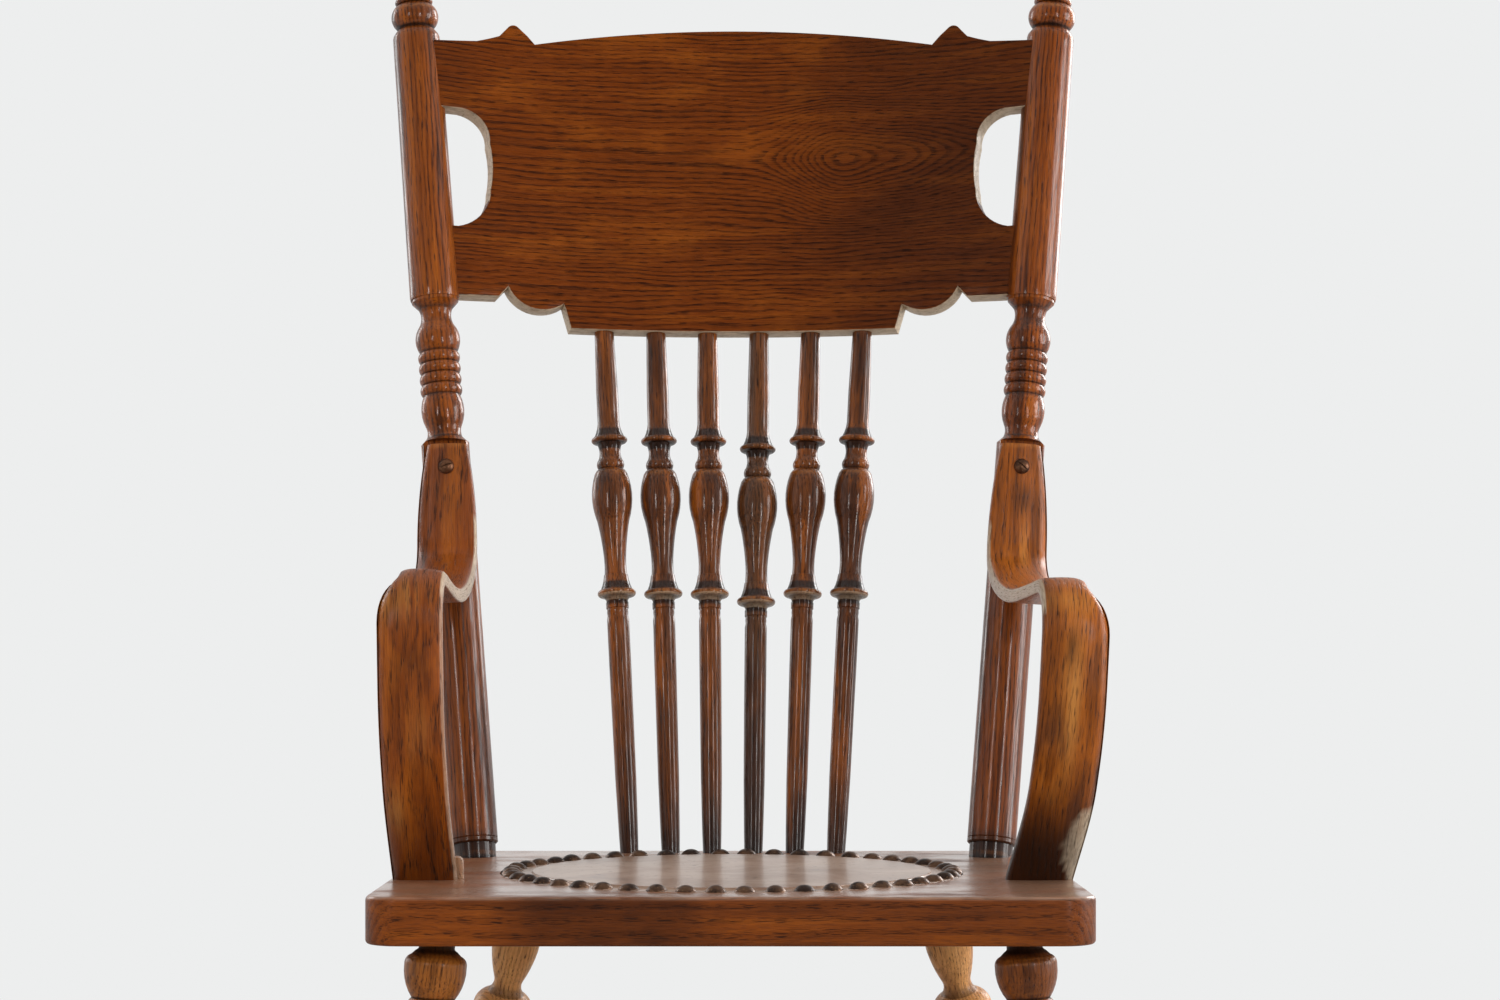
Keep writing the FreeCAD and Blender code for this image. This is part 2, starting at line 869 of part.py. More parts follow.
def wireOf(start, rows):
    """The same route as a wire in the y z plane."""
    edges = []
    here = start
    for row in rows:
        points = [Vector(0, row[i].value, row[i + 1].value) for i in range(0, len(row), 2)]
        if len(points) == 1:
            edges.append(Part.LineSegment(here, points[0]).toShape())
        else:
            edges.append(Part.Arc(here, points[0], points[1]).toShape())
        here = points[-1]
    return Part.Wire(edges)


def armShape(name, side):
    """One arm's strip, with the frames that its fastenings use."""
    thickness = value("armThickness")
    bow = value(f"{name}ArmBow")
    crestHeight = value(f"{name}ArmCrest")
    spacing = value("armFootSpacing")
    foot = Vector(side * spacing, value("armFootSetback"), 0)
    crest = Vector(side * (spacing + bow), value("armCrestSetback"), crestHeight)
    toSeat = seatFrame.inverse() * postFrame(side)
    meet = toSeat.multVec(Vector(0, 0, value("armMeetHeight")))
    across = (crest - foot).cross(meet - foot).normalize()
    across = across * math.copysign(1, across.x)
    back = (yAxis - across * across.y).normalize()
    up = across.cross(back)
    origin = foot - back * foot.y
    plane = Placement(origin, Rotation(across, back, up, "XYZ"))
    toPlane = plane.inverse() * toSeat
    low = flat(toPlane.multVec(Vector()))
    tipMiddle = flat(toPlane.multVec(Vector(0, 0, value("armTipHeight"))))
    postWay = along(low, tipMiddle)
    forward = rightOf(postWay) * -1
    tip = tipMiddle + forward * (value("armFlat") + thickness)
    knee = Vector(0, value("armKneeSetback"), value("armKneeHeight"))
    top = Vector(0, value("armCrestSetback"), crestHeight)
    dip = Vector(0, fromBack("armDipInset").value, value(f"{name}ArmDip"))
    heel = Vector(0, value("armFootSetback"), 0)
    bend = meeting(top, along(top, dip), tip, postWay)
    bendAngle = along(top, bend).getAngle(postWay)
    run = (tip - bend).Length
    straight = run - value("armBendRadius") * math.tan(bendAngle / 2)
    rise = along(heel, knee)
    start = heel - rise * value("overrun")
    corners = [start, knee, top, bend, tip]
    radii = [value("armKneeRadius"), value("armCrestRadius"), value("armBendRadius")]
    face = route(corners, radii)
    movedCorners, movedRadii = offsetRoute(corners, radii, thickness)
    under = route(movedCorners, movedRadii)
    backward = route(movedCorners[::-1], movedRadii[::-1])
    rows = face + [spots(movedCorners[-1])] + backward + [spots(start)]
    frame = seatFrame * plane
    strip = padded(f"arm_strip_{name}", frame, "YZ_Plane", spots(start), rows, size("armWidth"),
                   "Symmetric")
    tipFrame = frame * Placement(tip, Rotation(xAxis, rightOf(postWay), postWay, "XYZ"))
    footFrame = frame * Placement(heel, Rotation(xAxis, rightOf(rise), rise, "XYZ"))
    wires = {"face": wireOf(start, face), "under": wireOf(movedCorners[0], under)}
    return strip, frame, tipFrame, footFrame, wires, run, straight


def tipWedge(label, tipFrame, side, straight):
    """What the taper takes from one side of an arm's tip."""
    half = size("armWidth") / 2
    tipHalf = size("armTipWidth") / 2
    length = worked(straight * armTaperShare)
    narrowing = half.value - tipHalf.value
    radius = (length.value ** 2 + narrowing ** 2) / (2 * narrowing)
    middleAngle = math.asin(length.value / radius) / 2
    middle = half.value - radius * (1 - math.cos(middleAngle))
    middleHeight = radius * math.sin(middleAngle) - length.value
    rows = [
        (worked(side * middle), worked(middleHeight), tipHalf * side, nothing),
        (tipHalf * side, overrun),
        ((half + overrun) * side, overrun),
        ((half + overrun) * side, -length),
        (half * side, -length),
    ]
    depth = (size("armThickness") + overrun) * 2
    return padded(label, tipFrame, "XZ_Plane", (half * side, -length), rows, depth, "Symmetric")


def armArrises(shape, frame, wires, side):
    """The long edges of a strip, with the radius that each is rounded to."""
    inverse = frame.inverse()
    near = value("armInnerArris") / 10
    found = []
    for number, edge in enumerate(shape.Edges, 1):
        first, last = edge.ParameterRange
        points = [inverse.multVec(edge.valueAt(first + (last - first) * share))
                  for share in (0.02, 0.5, 0.98)]
        outward = [point.x * side for point in points]
        if min(outward) < 0 < max(outward) or min(abs(x) for x in outward) < value("armTipWidth") / 4:
            continue
        for face, wire in wires.items():
            gaps = [wire.distToShape(Part.Vertex(flat(point)))[0] for point in points]
            if max(gaps) < near:
                if face == "under":
                    radius = value("armBackArris")
                elif outward[0] > 0:
                    radius = value("armOuterArris")
                else:
                    radius = value("armInnerArris")
                found.append((number, radius))
    return found


def heelBlock(label, frame, footFrame, side):
    """The small block glued behind an arm's foot."""
    inverse = frame.inverse()
    thickness = value("armThickness")
    low = inverse.multVec(footFrame.multVec(Vector(0, thickness, 0)))
    high = inverse.multVec(footFrame.multVec(Vector(0, thickness, thickness)))
    slope = (high.y - low.y) / (high.z - low.z)
    base = low.y - slope * low.z
    height = value("heelHeight")
    sunk = -value("overrun")
    rear = base + value("heelDepth")
    radius = value("heelRound")
    middleShare = 1 - math.sqrt(0.5)
    rows = [
        (worked(rear), worked(sunk)),
        (worked(rear), worked(height - radius)),
        (worked(rear - radius * middleShare), worked(height - radius * middleShare),
         worked(rear - radius), worked(height)),
        (worked(base + slope * height), worked(height)),
        (worked(base + slope * sunk), worked(sunk)),
    ]
    inner = size("armWidth") / 2 + size("heelOverhang")
    outer = size("armWidth") / 2 - size("heelInset")
    start = -inner.value if side > 0 else -outer.value
    return padded(label, frame * movedBy(start, 0, 0), "YZ_Plane",
                  (worked(base + slope * sunk), worked(sunk)), rows, inner + outer)


def slottedScrew(label, frame, turn):
    """A round-headed screw whose head stands on the frame's x y plane."""
    sections = [
        (size("postScrewLength"), size("screwShank"), plainShares),
        (size("postScrewRise"), size("postScrewHead"), domeShares),
    ]
    screw = turned(label + "_body", frame, -size("postScrewLength"), sections)
    half = size("screwSlotWidth") / 2
    reach = size("postScrewHead") / 2 + overrun
    top = size("postScrewRise")
    slot = block(label + "_slot", frame * turnedBy(zAxis, turn),
                 (-reach, -half, top - size("screwSlotDepth")), (reach, half, top + overrun))
    return carved(label, screw, [slot])


def footScrew(label, frame):
    """A flat-headed screw driven from below, its frame's origin on the seat."""
    sections = [
        (size("footScrewHeadDepth"), size("footScrewHead"), plainShares),
        (size("footScrewSink") - size("footScrewHeadDepth") + size("footScrewReach"),
         size("screwShank"), plainShares),
    ]
    return turned(label, frame, -size("footScrewSink"), sections)


armTaperShare = 0.92
slotTurns = {"left": 20, "right": -35}
notches = {}
postScrewHoles = {}
postScrews = []
footScrews = []
for name, side in sides.items():
    strip, armFrame, tipFrame, footFrame, wires, run, straight = armShape(name, side)
    wedges = [tipWedge(f"tip_wedge_{name}_{hand}", tipFrame, way, straight)
              for hand, way in sides.items()]
    tapered = carved(f"arm_tapered_{name}", strip, wedges)
    document.recompute()
    arrises = armArrises(tapered.Shape, armFrame, wires, side)
    rounded = roundedEdges(f"arm_rounded_{name}", tapered, arrises)
    thickness = size("armThickness")
    screwFrame = tipFrame * movedBy(0, 0, -value("postScrewDrop")) * turnedBy(xAxis, 90)
    holeDiameter = size("screwShank") + glueGap * 2
    screwHole = cylinder(f"post_screw_hole_{name}", screwFrame, holeDiameter,
                         -(size("postScrewLength") + glueGap), overrun)
    postScrews.append(slottedScrew(f"post_screw_{name}", screwFrame, slotTurns[name]))
    postScrewHoles[name] = screwHole
    armHoles = [screwHole]
    for hand, way in sides.items():
        across = way * value("footScrewSpacing") / 2
        tag = f"{name}_{hand}"
        footScrewFrame = footFrame * movedBy(across, thickness.value / 2, 0)
        footScrews.append(footScrew(f"foot_screw_{tag}", footScrewFrame))
        hole = cylinder(f"foot_screw_hole_{tag}", footScrewFrame, holeDiameter,
                        -(size("seatThickness") + overrun), size("footScrewReach") + glueGap)
        recess = cylinder(f"foot_screw_recess_{tag}", footScrewFrame, size("footScrewRecess"),
                          -(size("seatThickness") + overrun * 2),
                          size("footScrewHeadDepth") - size("footScrewSink"))
        armHoles.append(hole)
        seatHoles.extend([hole, recess])
    copedArm = carved(f"arm_coped_{name}", rounded, [seatPlank])
    keep(f"arm_{name}", carved(f"arm_{name}", copedArm, armHoles))
    heel = heelBlock(f"heel_{name}", armFrame, footFrame, side)
    keep(f"arm_block_{name}", carved(f"arm_block_{name}", heel, [seatPlank]))
    reach = size("postLower") / 2 + overrun
    flatLength = worked(run) + size("armFlatMargin")
    notches[name] = block(f"notch_{name}", tipFrame, (-reach, -reach * 2, -flatLength),
                          (reach, thickness, size("armFlatRise")))
keep("arm_post_screws", gathered("arm_post_screws", postScrews))
keep("arm_foot_screws", gathered("arm_foot_screws", footScrews))


# Back posts: two plain lengths with a vase between them and a finial on top
postLowerShares = [(0, 0.93), (0.004, 1), (0.012, 1), (0.0135, 0.975), (0.015, 1), (1, 1)]
postVaseShares = [
    (0, 1.071), (0.041, 0.81),
    (0.082, 0.742, 0.131, 0.813),
    (0.234, 0.956, 0.332, 0.824),
    *ringShares(0.332, 0.632, 4, 0.824, 0.934),
    (0.717, 0.997, 0.803, 0.838),
    (0.873, 0.673, 0.934, 0.755),
    (0.98, 1.044), (1, 1.044),
]
postFinialShares = [
    (0.069, 0.749),
    (0.172, 1, 0.307, 0.698),
    (0.338, 0.801, 0.37, 0.698),
    (0.414, 0.556, 0.46, 0.53),
    (0.678, 0.891, 0.885, 0.362),
    (0.914, 0.413),
    (0.977, 0.31, 1, 0.155),
]
for name, side in sides.items():
    frame = postFrame(side)
    sections = [
        (overrun, size("postNeck"), [(0, 1)]),
        (size("postNeckLength"), size("postNeck"), [(1, 1)]),
        (size("postLowerLength"), size("postLower"), postLowerShares),
        (size("postVaseLength"), size("postVase"), postVaseShares),
        (size("postUpperLength"), size("postUpper"), postUpperShares),
        (size("postFinialLength"), size("postFinial"), postFinialShares),
    ]
    turning = turned(f"post_turning_{name}", frame, -overrun, sections)
    copedPost = carved(f"post_coped_{name}", turning, [seatPlank])
    tenonDepth = size("postTenonLength")
    tenon = cylinder(f"post_tenon_{name}", frame, size("postTenon"), -tenonDepth,
                     size("postNeckLength") / 2)
    wholePost = joined(f"post_whole_{name}", [copedPost, tenon])
    cuts = [notches[name], postScrewHoles[name]] + mortises[name] + pinHoles[name]
    keep(f"post_{name}", carved(f"post_{name}", wholePost, cuts))
    seatHoles.append(socket(f"post_socket_{name}", frame, size("postTenon"), tenonDepth, overrun))


# Legs: turned, tenoned into the seat above and the rockers below
legFootShares = [(0, 0.676), (0.91, 0.892), (0.93, 0.84), (0.965, 0.96, 1, 0.84)]
legBossShares = [(0.03, 0.95), (0.05, 1), (0.95, 1), (0.97, 0.95), (1, 0.84)]
legRingsShares = ringShares(0, 1, 3, 0.84, 0.97)
frontVaseShares = [
    (0.217, 0.905, 0.565, 1),
    (0.687, 0.933, 0.739, 0.8),
    (0.809, 0.667),
    (0.83, 0.61, 0.85, 0.578),
]
rearVaseShares = [
    (0.09, 0.8, 0.2, 1),
    (0.3, 0.92, 0.34, 0.7),
    (0.39, 0.5, 0.46, 0.515),
    (0.58, 0.7, 0.69, 0.8),
    (1, 0.87),
]
legNeckShare = 0.578
frontLengthShares = (0.2168, 0.5715, 0.0723)
rearLengthShares = (0.1925, 0.4054, 0.0642)
legSpecs = {
    "front": (size("frontLegHalfSpacing"), size("frontLegSetback"), size("frontFootSetback"),
              frontLengthShares, size("frontLegBulb"), frontVaseShares),
    "rear": (size("rearLegHalfSpacing"), fromBack("rearLegInset"), fromBack("rearFootInset"),
             rearLengthShares, size("rearLegBulb"), rearVaseShares),
}


def legFrame(spec, side):
    """A frame at a leg's foot, and the leg's length."""
    topSpacing, topSetback, footSetback = spec[:3]
    y = footSetback.value - seatBack
    foot = Vector(side * value("rockerHalfSpacing"), y, rockerTop(y))
    top = Vector(side * topSpacing.value, topSetback.value, -value("seatThickness"))
    top = seatFrame.multVec(top)
    return frameAlong(foot, top), (top - foot).Length


legTurnings = {}
legFrames = {}
legSockets = {}
rockerHoles = {name: [] for name in sides}
rockerPins = []
for end, spec in legSpecs.items():
    for name, side in sides.items():
        label = f"{end}_leg_{name}"
        frame, length = legFrame(spec, side)
        lengthShares, bulb, vaseShares = spec[3:]
        footLength, bossLength, ringsLength = [worked(length * share) for share in lengthShares]
        rest = worked(length * (1 - sum(lengthShares)))
        boss = size("legBoss")
        sections = [
            (overrun, boss, [(0, legFootShares[0][1])]),
            (footLength, boss, legFootShares[1:]),
            (bossLength, boss, legBossShares),
            (ringsLength, boss, legRingsShares),
            (rest, bulb, vaseShares),
            (overrun, bulb, [(1, vaseShares[-1][-1])]),
        ]
        turning = turned(f"{label}_turning", frame, -overrun, sections)
        underSeat = carved(f"{label}_under_seat", turning, [seatPlank])
        coped = carved(f"{label}_coped", underSeat, [rockerCopes[name]])
        topFrame = frame * movedBy(0, 0, length) * turnedBy(xAxis, 180)
        grip = size("legNeck") / 2
        topTenon = cylinder(f"{label}_top_tenon", topFrame, size("legTenon"),
                            -size("legTenonLength"), grip)
        footTenon = cylinder(f"{label}_foot_tenon", frame, size("footTenon"),
                             -size("footTenonLength"), grip)
        legTurnings[label] = joined(f"{label}_whole", [coped, topTenon, footTenon])
        legFrames[label] = (frame, length)
        seatHoles.append(socket(f"{label}_seat_socket", topFrame, size("legTenon"),
                                size("legTenonLength"), overrun))
        rockerHoles[name].append(socket(f"{label}_rocker_socket", frame, size("footTenon"),
                                        size("footTenonLength"), overrun))
        pinSpot = frame.multVec(Vector(0, 0, -value("rockerPinDepth")))
        pinSpot.x = side * value("rockerHalfSpacing")
        pinFrame = Placement(pinSpot, Rotation(yAxis, 90))
        half = size("rockerThickness") / 2
        rockerPins.append(cylinder(f"{label}_pin", pinFrame, size("rockerPin"), -half, half))
        pinHole = cylinder(f"{label}_pin_hole", pinFrame, size("rockerPin") + glueGap * 2,
                           -(half + overrun), half + overrun)
        rockerHoles[name].append(pinHole)
        legSockets[label] = [pinHole]

for name in sides:
    label = f"rocker_{name}"
    keep(label, carved(label, rockerBlanks[name], rockerHoles[name]))
keep("rocker_pins", gathered("rocker_pins", rockerPins))


# Stretchers: turned rods between the legs
frontStretcherShares = [
    (0.02, 0.6),
    (0.13, 0.86, 0.27, 0.8),
    *ringShares(0.27, 0.36, 2, 0.8, 1),
    (0.5, 1.05, 0.64, 0.8),
    *ringShares(0.64, 0.73, 2, 0.8, 1),
    (0.87, 0.86, 0.98, 0.6),
]
plainStretcherShares = [(0.02, 0.68), (0.5, 1, 0.98, 0.68)]


def upLeg(label, share):
    """The point a share of the way up a leg."""
    frame, length = legFrames[label]
    return frame.multVec(Vector(0, 0, length * share))


def stretcher(label, first, firstShare, second, secondShare, diameter, shares):
    """A rod between two legs, joined at a share of the length of each."""
    start = upLeg(first, firstShare)
    end = upLeg(second, secondShare)
    inset = size("legBoss") / 2 - size("stretcherTenonLength")
    plain = size("stretcherTenonLength") + size("stretcherShoulder")
    tenonDiameter = size("stretcherTenon")
    length = worked((end - start).Length)
    sections = [
        (plain, tenonDiameter, plainShares),
        (length - (inset + plain) * 2, diameter, shares),
        (plain, tenonDiameter, plainShares),
    ]
    keep(label, turned(label, frameAlong(start, end), inset, sections))
    for leg, frame in ((first, frameAlong(start, end)), (second, frameAlong(end, start))):
        hole = cylinder(f"{label}_{leg}_socket", frame, tenonDiameter + glueGap * 2,
                        inset - glueGap, size("legBoss") / 2 + overrun)
        legSockets[leg].append(hole)


frontHeightShares = {"upper": 0.7029, "lower": 0.427}
sideHeightShares = {"upper": (0.6109, 0.5133), "lower": (0.3219, 0.2566)}
rearHeightShare = 0.4024
for level, share in frontHeightShares.items():
    stretcher(f"front_stretcher_{level}", "front_leg_left", share, "front_leg_right", share,
              size("frontStretcher"), frontStretcherShares)
for level, (frontShare, rearShare) in sideHeightShares.items():
    for name in sides:
        stretcher(f"side_stretcher_{name}_{level}", f"front_leg_{name}", frontShare,
                  f"rear_leg_{name}", rearShare, size("sideStretcher"), plainStretcherShares)
stretcher("rear_stretcher", "rear_leg_left", rearHeightShare, "rear_leg_right", rearHeightShare,
          size("sideStretcher"), plainStretcherShares)

for label, turning in legTurnings.items():
    keep(label, carved(label, turning, legSockets[label]))

keep("seat_board", carved("seat_board", seatPlank, seatHoles))
document.recompute()

# Checks and files
for item in document.Objects:
    if {"Invalid", "Error"} & set(item.State):
        raise RuntimeError(f"{item.Label} is {item.State}")
for label, piece in subParts.items():
    shape = piece.Shape
    if shape.isNull() or not shape.isValid() or not shape.Solids:
        raise RuntimeError(f"{label} has no valid shape")
for label, piece in subParts.items():
    piece.Shape.exportStep(f"parts/{label}.step")
print(len(subParts), "sub-parts written")
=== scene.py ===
import math

import bpy
import numpy as np
from mathutils import Matrix, Vector


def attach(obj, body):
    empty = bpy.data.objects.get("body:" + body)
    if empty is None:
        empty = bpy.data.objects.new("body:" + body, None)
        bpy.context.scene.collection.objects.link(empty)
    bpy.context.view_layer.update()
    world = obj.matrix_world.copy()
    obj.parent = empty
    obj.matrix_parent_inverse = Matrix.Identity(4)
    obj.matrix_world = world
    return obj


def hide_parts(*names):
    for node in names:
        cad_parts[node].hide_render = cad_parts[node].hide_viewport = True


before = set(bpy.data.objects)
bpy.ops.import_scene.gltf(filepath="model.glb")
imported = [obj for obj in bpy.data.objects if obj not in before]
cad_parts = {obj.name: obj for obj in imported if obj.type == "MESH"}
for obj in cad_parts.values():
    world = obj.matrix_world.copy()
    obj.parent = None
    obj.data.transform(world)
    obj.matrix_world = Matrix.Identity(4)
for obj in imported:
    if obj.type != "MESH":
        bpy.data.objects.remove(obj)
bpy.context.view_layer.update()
print("frame loaded")


# Frames of the chair, in metres: left is -X in the picture, and the front is -Y
chair = {
    "seatFront": -0.307,
    "seatHeight": 0.420,
    "seatTilt": 3,
    "postSetback": 0.360,
    "backLean": 13,
    "postSpacing": 0.204,
    "postSplay": 4.87,
}
sides = {"left": -1, "right": 1}


def movedBy(x, y, z):
    return Matrix.Translation((x, y, z))


def turnedBy(degrees, axis):
    return Matrix.Rotation(math.radians(degrees), 4, axis)


def framed(x, y, z, origin=(0, 0, 0)):  # a frame from its three axes
    matrix = Matrix((x, y, z)).transposed().to_4x4()
    matrix.translation = origin
    return matrix


def frameAlong(start, end):
    turn = Vector((0, 0, 1)).rotation_difference(end - start)
    return Matrix.Translation(start) @ turn.to_matrix().to_4x4()


seatFrame = movedBy(0, chair["seatFront"], chair["seatHeight"]) @ turnedBy(-chair["seatTilt"], "X")
backFrame = seatFrame @ movedBy(0, chair["postSetback"], 0) @ turnedBy(-chair["backLean"], "X")


def postFrame(side):
    splay = turnedBy(side * chair["postSplay"], "Y")
    return backFrame @ movedBy(side * chair["postSpacing"], 0, 0) @ splay


# Shader sheets: sums are written as Python expressions on wires
class Wire:
    def __init__(self, sheet, socket):
        self.sheet = sheet
        self.socket = socket

    def math(self, operation, *others):
        return self.sheet.node("Math", {"operation": operation}, dict(enumerate((self,) + others)))

    def __add__(self, other):
        return self.math("ADD", other)

    __radd__ = __add__

    def __mul__(self, other):
        return self.math("MULTIPLY", other)

    __rmul__ = __mul__

    def __sub__(self, other):
        return self.math("SUBTRACT", other)

    def __rsub__(self, other):
        return self.sheet.node("Math", {"operation": "SUBTRACT"}, {0: other, 1: self})

    def __truediv__(self, other):
        return self.math("DIVIDE", other)

    def __pow__(self, power):
        return self.math("POWER", power)

    def between(self, low, high):  # 0 below low, 1 above high, smooth in between
        sockets = {"Value": self, "From Min": low, "From Max": high}
        return self.sheet.node("MapRange", {"interpolation_type": "SMOOTHSTEP"}, sockets)


class Sheet:
    def __init__(self, owner):
        owner.use_nodes = True
        self.owner = owner
        self.nodes = owner.node_tree.nodes
        self.links = owner.node_tree.links
        self.nodes.clear()

    def node(self, kind, settings, sockets, output=0):
        made = self.nodes.new("ShaderNode" + kind)
        for key, setting in settings.items():
            setattr(made, key, setting)
        for key, source in sockets.items():
            if isinstance(source, Wire):
                self.links.new(source.socket, made.inputs[key])
            else:
                made.inputs[key].default_value = source
        return Wire(self, made.outputs[output]) if made.outputs else made


class Finish(Sheet):
    def __init__(self, name):
        super().__init__(bpy.data.materials.new(name))

    def attribute(self, name, output="Fac"):
        return self.node("Attribute", {"attribute_name": name}, {}, output)

    def spot(self):
        return self.node("TexCoord", {}, {}, "Object")

    def parts(self, vector):
        return [self.node("SeparateXYZ", {}, {0: vector}, output) for output in "XYZ"]

    def stretch(self, vector, factors):
        return self.node("VectorMath", {"operation": "MULTIPLY"}, {0: vector, 1: factors})

    def noise(self, vector, scale, detail=2.0, rough=0.5, warp=0.0):
        sockets = {"Vector": vector, "Scale": scale, "Detail": detail, "Roughness": rough,
                   "Distortion": warp}
        return self.node("TexNoise", {}, sockets)

    def mix(self, factor, first, second, blend="MIX"):
        settings = {"data_type": "RGBA", "blend_type": blend}
        return self.node("Mix", settings, {0: factor, 6: first, 7: second}, 2)

    def bump(self, height, distance, strength=1.0):
        return self.node("Bump", {}, {"Height": height, "Distance": distance,
                                      "Strength": strength})

    def done(self, sockets):
        shader = self.node("BsdfPrincipled", {}, sockets)
        self.node("OutputMaterial", {}, {"Surface": shader})
        return self.owner


def tone(red, green, blue):
    levels = [level / 255 for level in (red, green, blue)]
    linear = [level / 12.92 if level <= 0.04045 else ((level + 0.055) / 1.055) ** 2.4
              for level in levels]
    return (*linear, 1)


# Modelling by hand: every piece starts as a primitive and is shaped in edit mode
def leaveEdit():
    if bpy.context.object and bpy.context.object.mode != "OBJECT":
        bpy.ops.object.mode_set(mode="OBJECT")


def only(piece):
    leaveEdit()
    bpy.ops.object.select_all(action="DESELECT")
    piece.select_set(True)
    bpy.context.view_layer.objects.active = piece


def edit(piece, action="SELECT", kind="VERT"):
    only(piece)
    bpy.ops.object.mode_set(mode="EDIT")
    bpy.ops.mesh.select_mode(type=kind)
    bpy.ops.mesh.select_all(action=action)


def pick(piece, kind, test):  # leaves the piece in edit mode with what passes the test
    edit(piece, "DESELECT", {"vertices": "VERT", "edges": "EDGE", "polygons": "FACE"}[kind])
    leaveEdit()
    for item in getattr(piece.data, kind):
        item.select = test(item)
    bpy.ops.object.mode_set(mode="EDIT")


def edgeEnds(piece, edge):
    return [piece.data.vertices[number].co for number in edge.vertices]


def tidy(piece):
    edit(piece)
    bpy.ops.mesh.remove_doubles(threshold=0.00001)
    bpy.ops.mesh.normals_make_consistent(inside=False)
    leaveEdit()


def sliceAcross(piece, way, spots):  # gives a flat face the edges that it bends at
    for spot in spots:
        edit(piece)
        bpy.ops.mesh.bisect(plane_co=Vector(way) * spot, plane_no=way)
    leaveEdit()


def joined(name, pieces):
    only(pieces[0])
    for piece in pieces:
        piece.select_set(True)
    bpy.ops.object.join()
    pieces[0].name = name
    return pieces[0]


def chain(points):
    bpy.ops.mesh.primitive_plane_add(size=0.01, location=(0, 0, 0))
    piece = bpy.context.object
    edit(piece)
    bpy.ops.mesh.merge(type="CENTER")
    bpy.ops.transform.translate(value=points[0])
    for before, after in zip(points, points[1:]):
        bpy.ops.mesh.extrude_region_move(TRANSFORM_OT_translate={"value": after - before})
    return piece


def turned(name, profile, steps):  # a profile of radius and height, spun round its axis
    piece = chain([Vector((radius, 0, height)) for radius, height in profile])
    edit(piece)
    bpy.ops.mesh.spin(steps=steps, angle=math.tau, center=(0, 0, 0), axis=(0, 0, 1),
                      use_auto_merge=True)
    tidy(piece)
    piece.name = name
    return piece


def modify(piece, kind, **settings):
    only(piece)
    modifier = piece.modifiers.new(kind.lower(), kind)
    for key, setting in settings.items():
        setattr(modifier, key, setting)
    bpy.ops.object.modifier_apply(modifier=modifier.name)


def place(piece, matrix):
    only(piece)
    piece.matrix_world = matrix
    bpy.ops.object.transform_apply(location=True, rotation=True, scale=True)


def copyOf(piece, name):
    other = piece.copy()
    other.data = piece.data.copy()
    other.name = name
    bpy.context.collection.objects.link(other)
    return other


def cutAway(piece, tool):
    modify(piece, "BOOLEAN", operation="DIFFERENCE", object=tool, solver="EXACT")
    bpy.data.objects.remove(tool)


def blockTool(low, high, matrix):
    bpy.ops.mesh.primitive_cube_add(size=1)
    tool = bpy.context.object
    middle = (Vector(low) + Vector(high)) / 2
    size = Vector(high) - Vector(low)
    place(tool, matrix @ Matrix.Translation(middle) @ Matrix.Diagonal((*size, 1)))
    return tool


arcMiddle = 1 - math.sqrt(0.5)  # where a square corner's arc has its middle, per radius


def arcPoints(start, middle, end, reach=0.006):
    (ax, ay), (bx, by), (cx, cy) = start, middle, end
    spread = 2 * (ax * (by - cy) + bx * (cy - ay) + cx * (ay - by))
    squares = [x * x + y * y for x, y in (start, middle, end)]
    ux = (squares[0] * (by - cy) + squares[1] * (cy - ay) + squares[2] * (ay - by)) / spread
    uy = (squares[0] * (cx - bx) + squares[1] * (ax - cx) + squares[2] * (bx - ax)) / spread
    radius = math.hypot(ax - ux, ay - uy)
    first, last = math.atan2(ay - uy, ax - ux), math.atan2(cy - uy, cx - ux)
    turn = (bx - ax) * (cy - by) - (by - ay) * (cx - bx)
    sweep = (last - first) % math.tau if turn > 0 else -((first - last) % math.tau)
    count = max(3, math.ceil(abs(sweep) / 0.14), math.ceil(abs(sweep) * radius / reach))
    return [(ux + radius * math.cos(first + sweep * step / count),
             uy + radius * math.sin(first + sweep * step / count))
            for step in range(1, count + 1)]


def traced(start, rows, reach=0.006):  # a row of four numbers is the middle and end of an arc
    points = [start]
    for row in rows:
        if len(row) == 4:
            points.extend(arcPoints(points[-1], row[:2], row[2:], reach))
        else:
            gap = math.dist(points[-1], row)
            count = max(1, math.ceil(gap / reach))
            first = points[-1]
            points.extend((first[0] + (row[0] - first[0]) * step / count,
                           first[1] + (row[1] - first[1]) * step / count)
                          for step in range(1, count + 1))
    return points


def cutOut(points, depth):  # an outline in the x z plane, made solid to both sides along y
    piece = chain([Vector((x, -depth / 2, z)) for x, z in points])
    edit(piece)
    bpy.ops.mesh.edge_face_add()
    bpy.ops.mesh.extrude_region_move(TRANSFORM_OT_translate={"value": (0, depth, 0)})
    tidy(piece)
    return piece


def softenRim(piece, width, segments, test):
    pick(piece, "edges", test)
    bpy.ops.mesh.bevel(offset=width, segments=segments, profile=0.5, affect="EDGES",
                       clamp_overlap=True)
    leaveEdit()


def rimAt(piece, axis, level):  # passes the edges that lie in one flat face
    return lambda edge: all(abs(end[axis] - level) < 0.0001 for end in edgeEnds(piece, edge))


def softenFaces(piece, depth, width, segments):  # both rims of what cutOut makes
    for y in (-depth / 2, depth / 2):
        softenRim(piece, width, segments, rimAt(piece, 1, y))


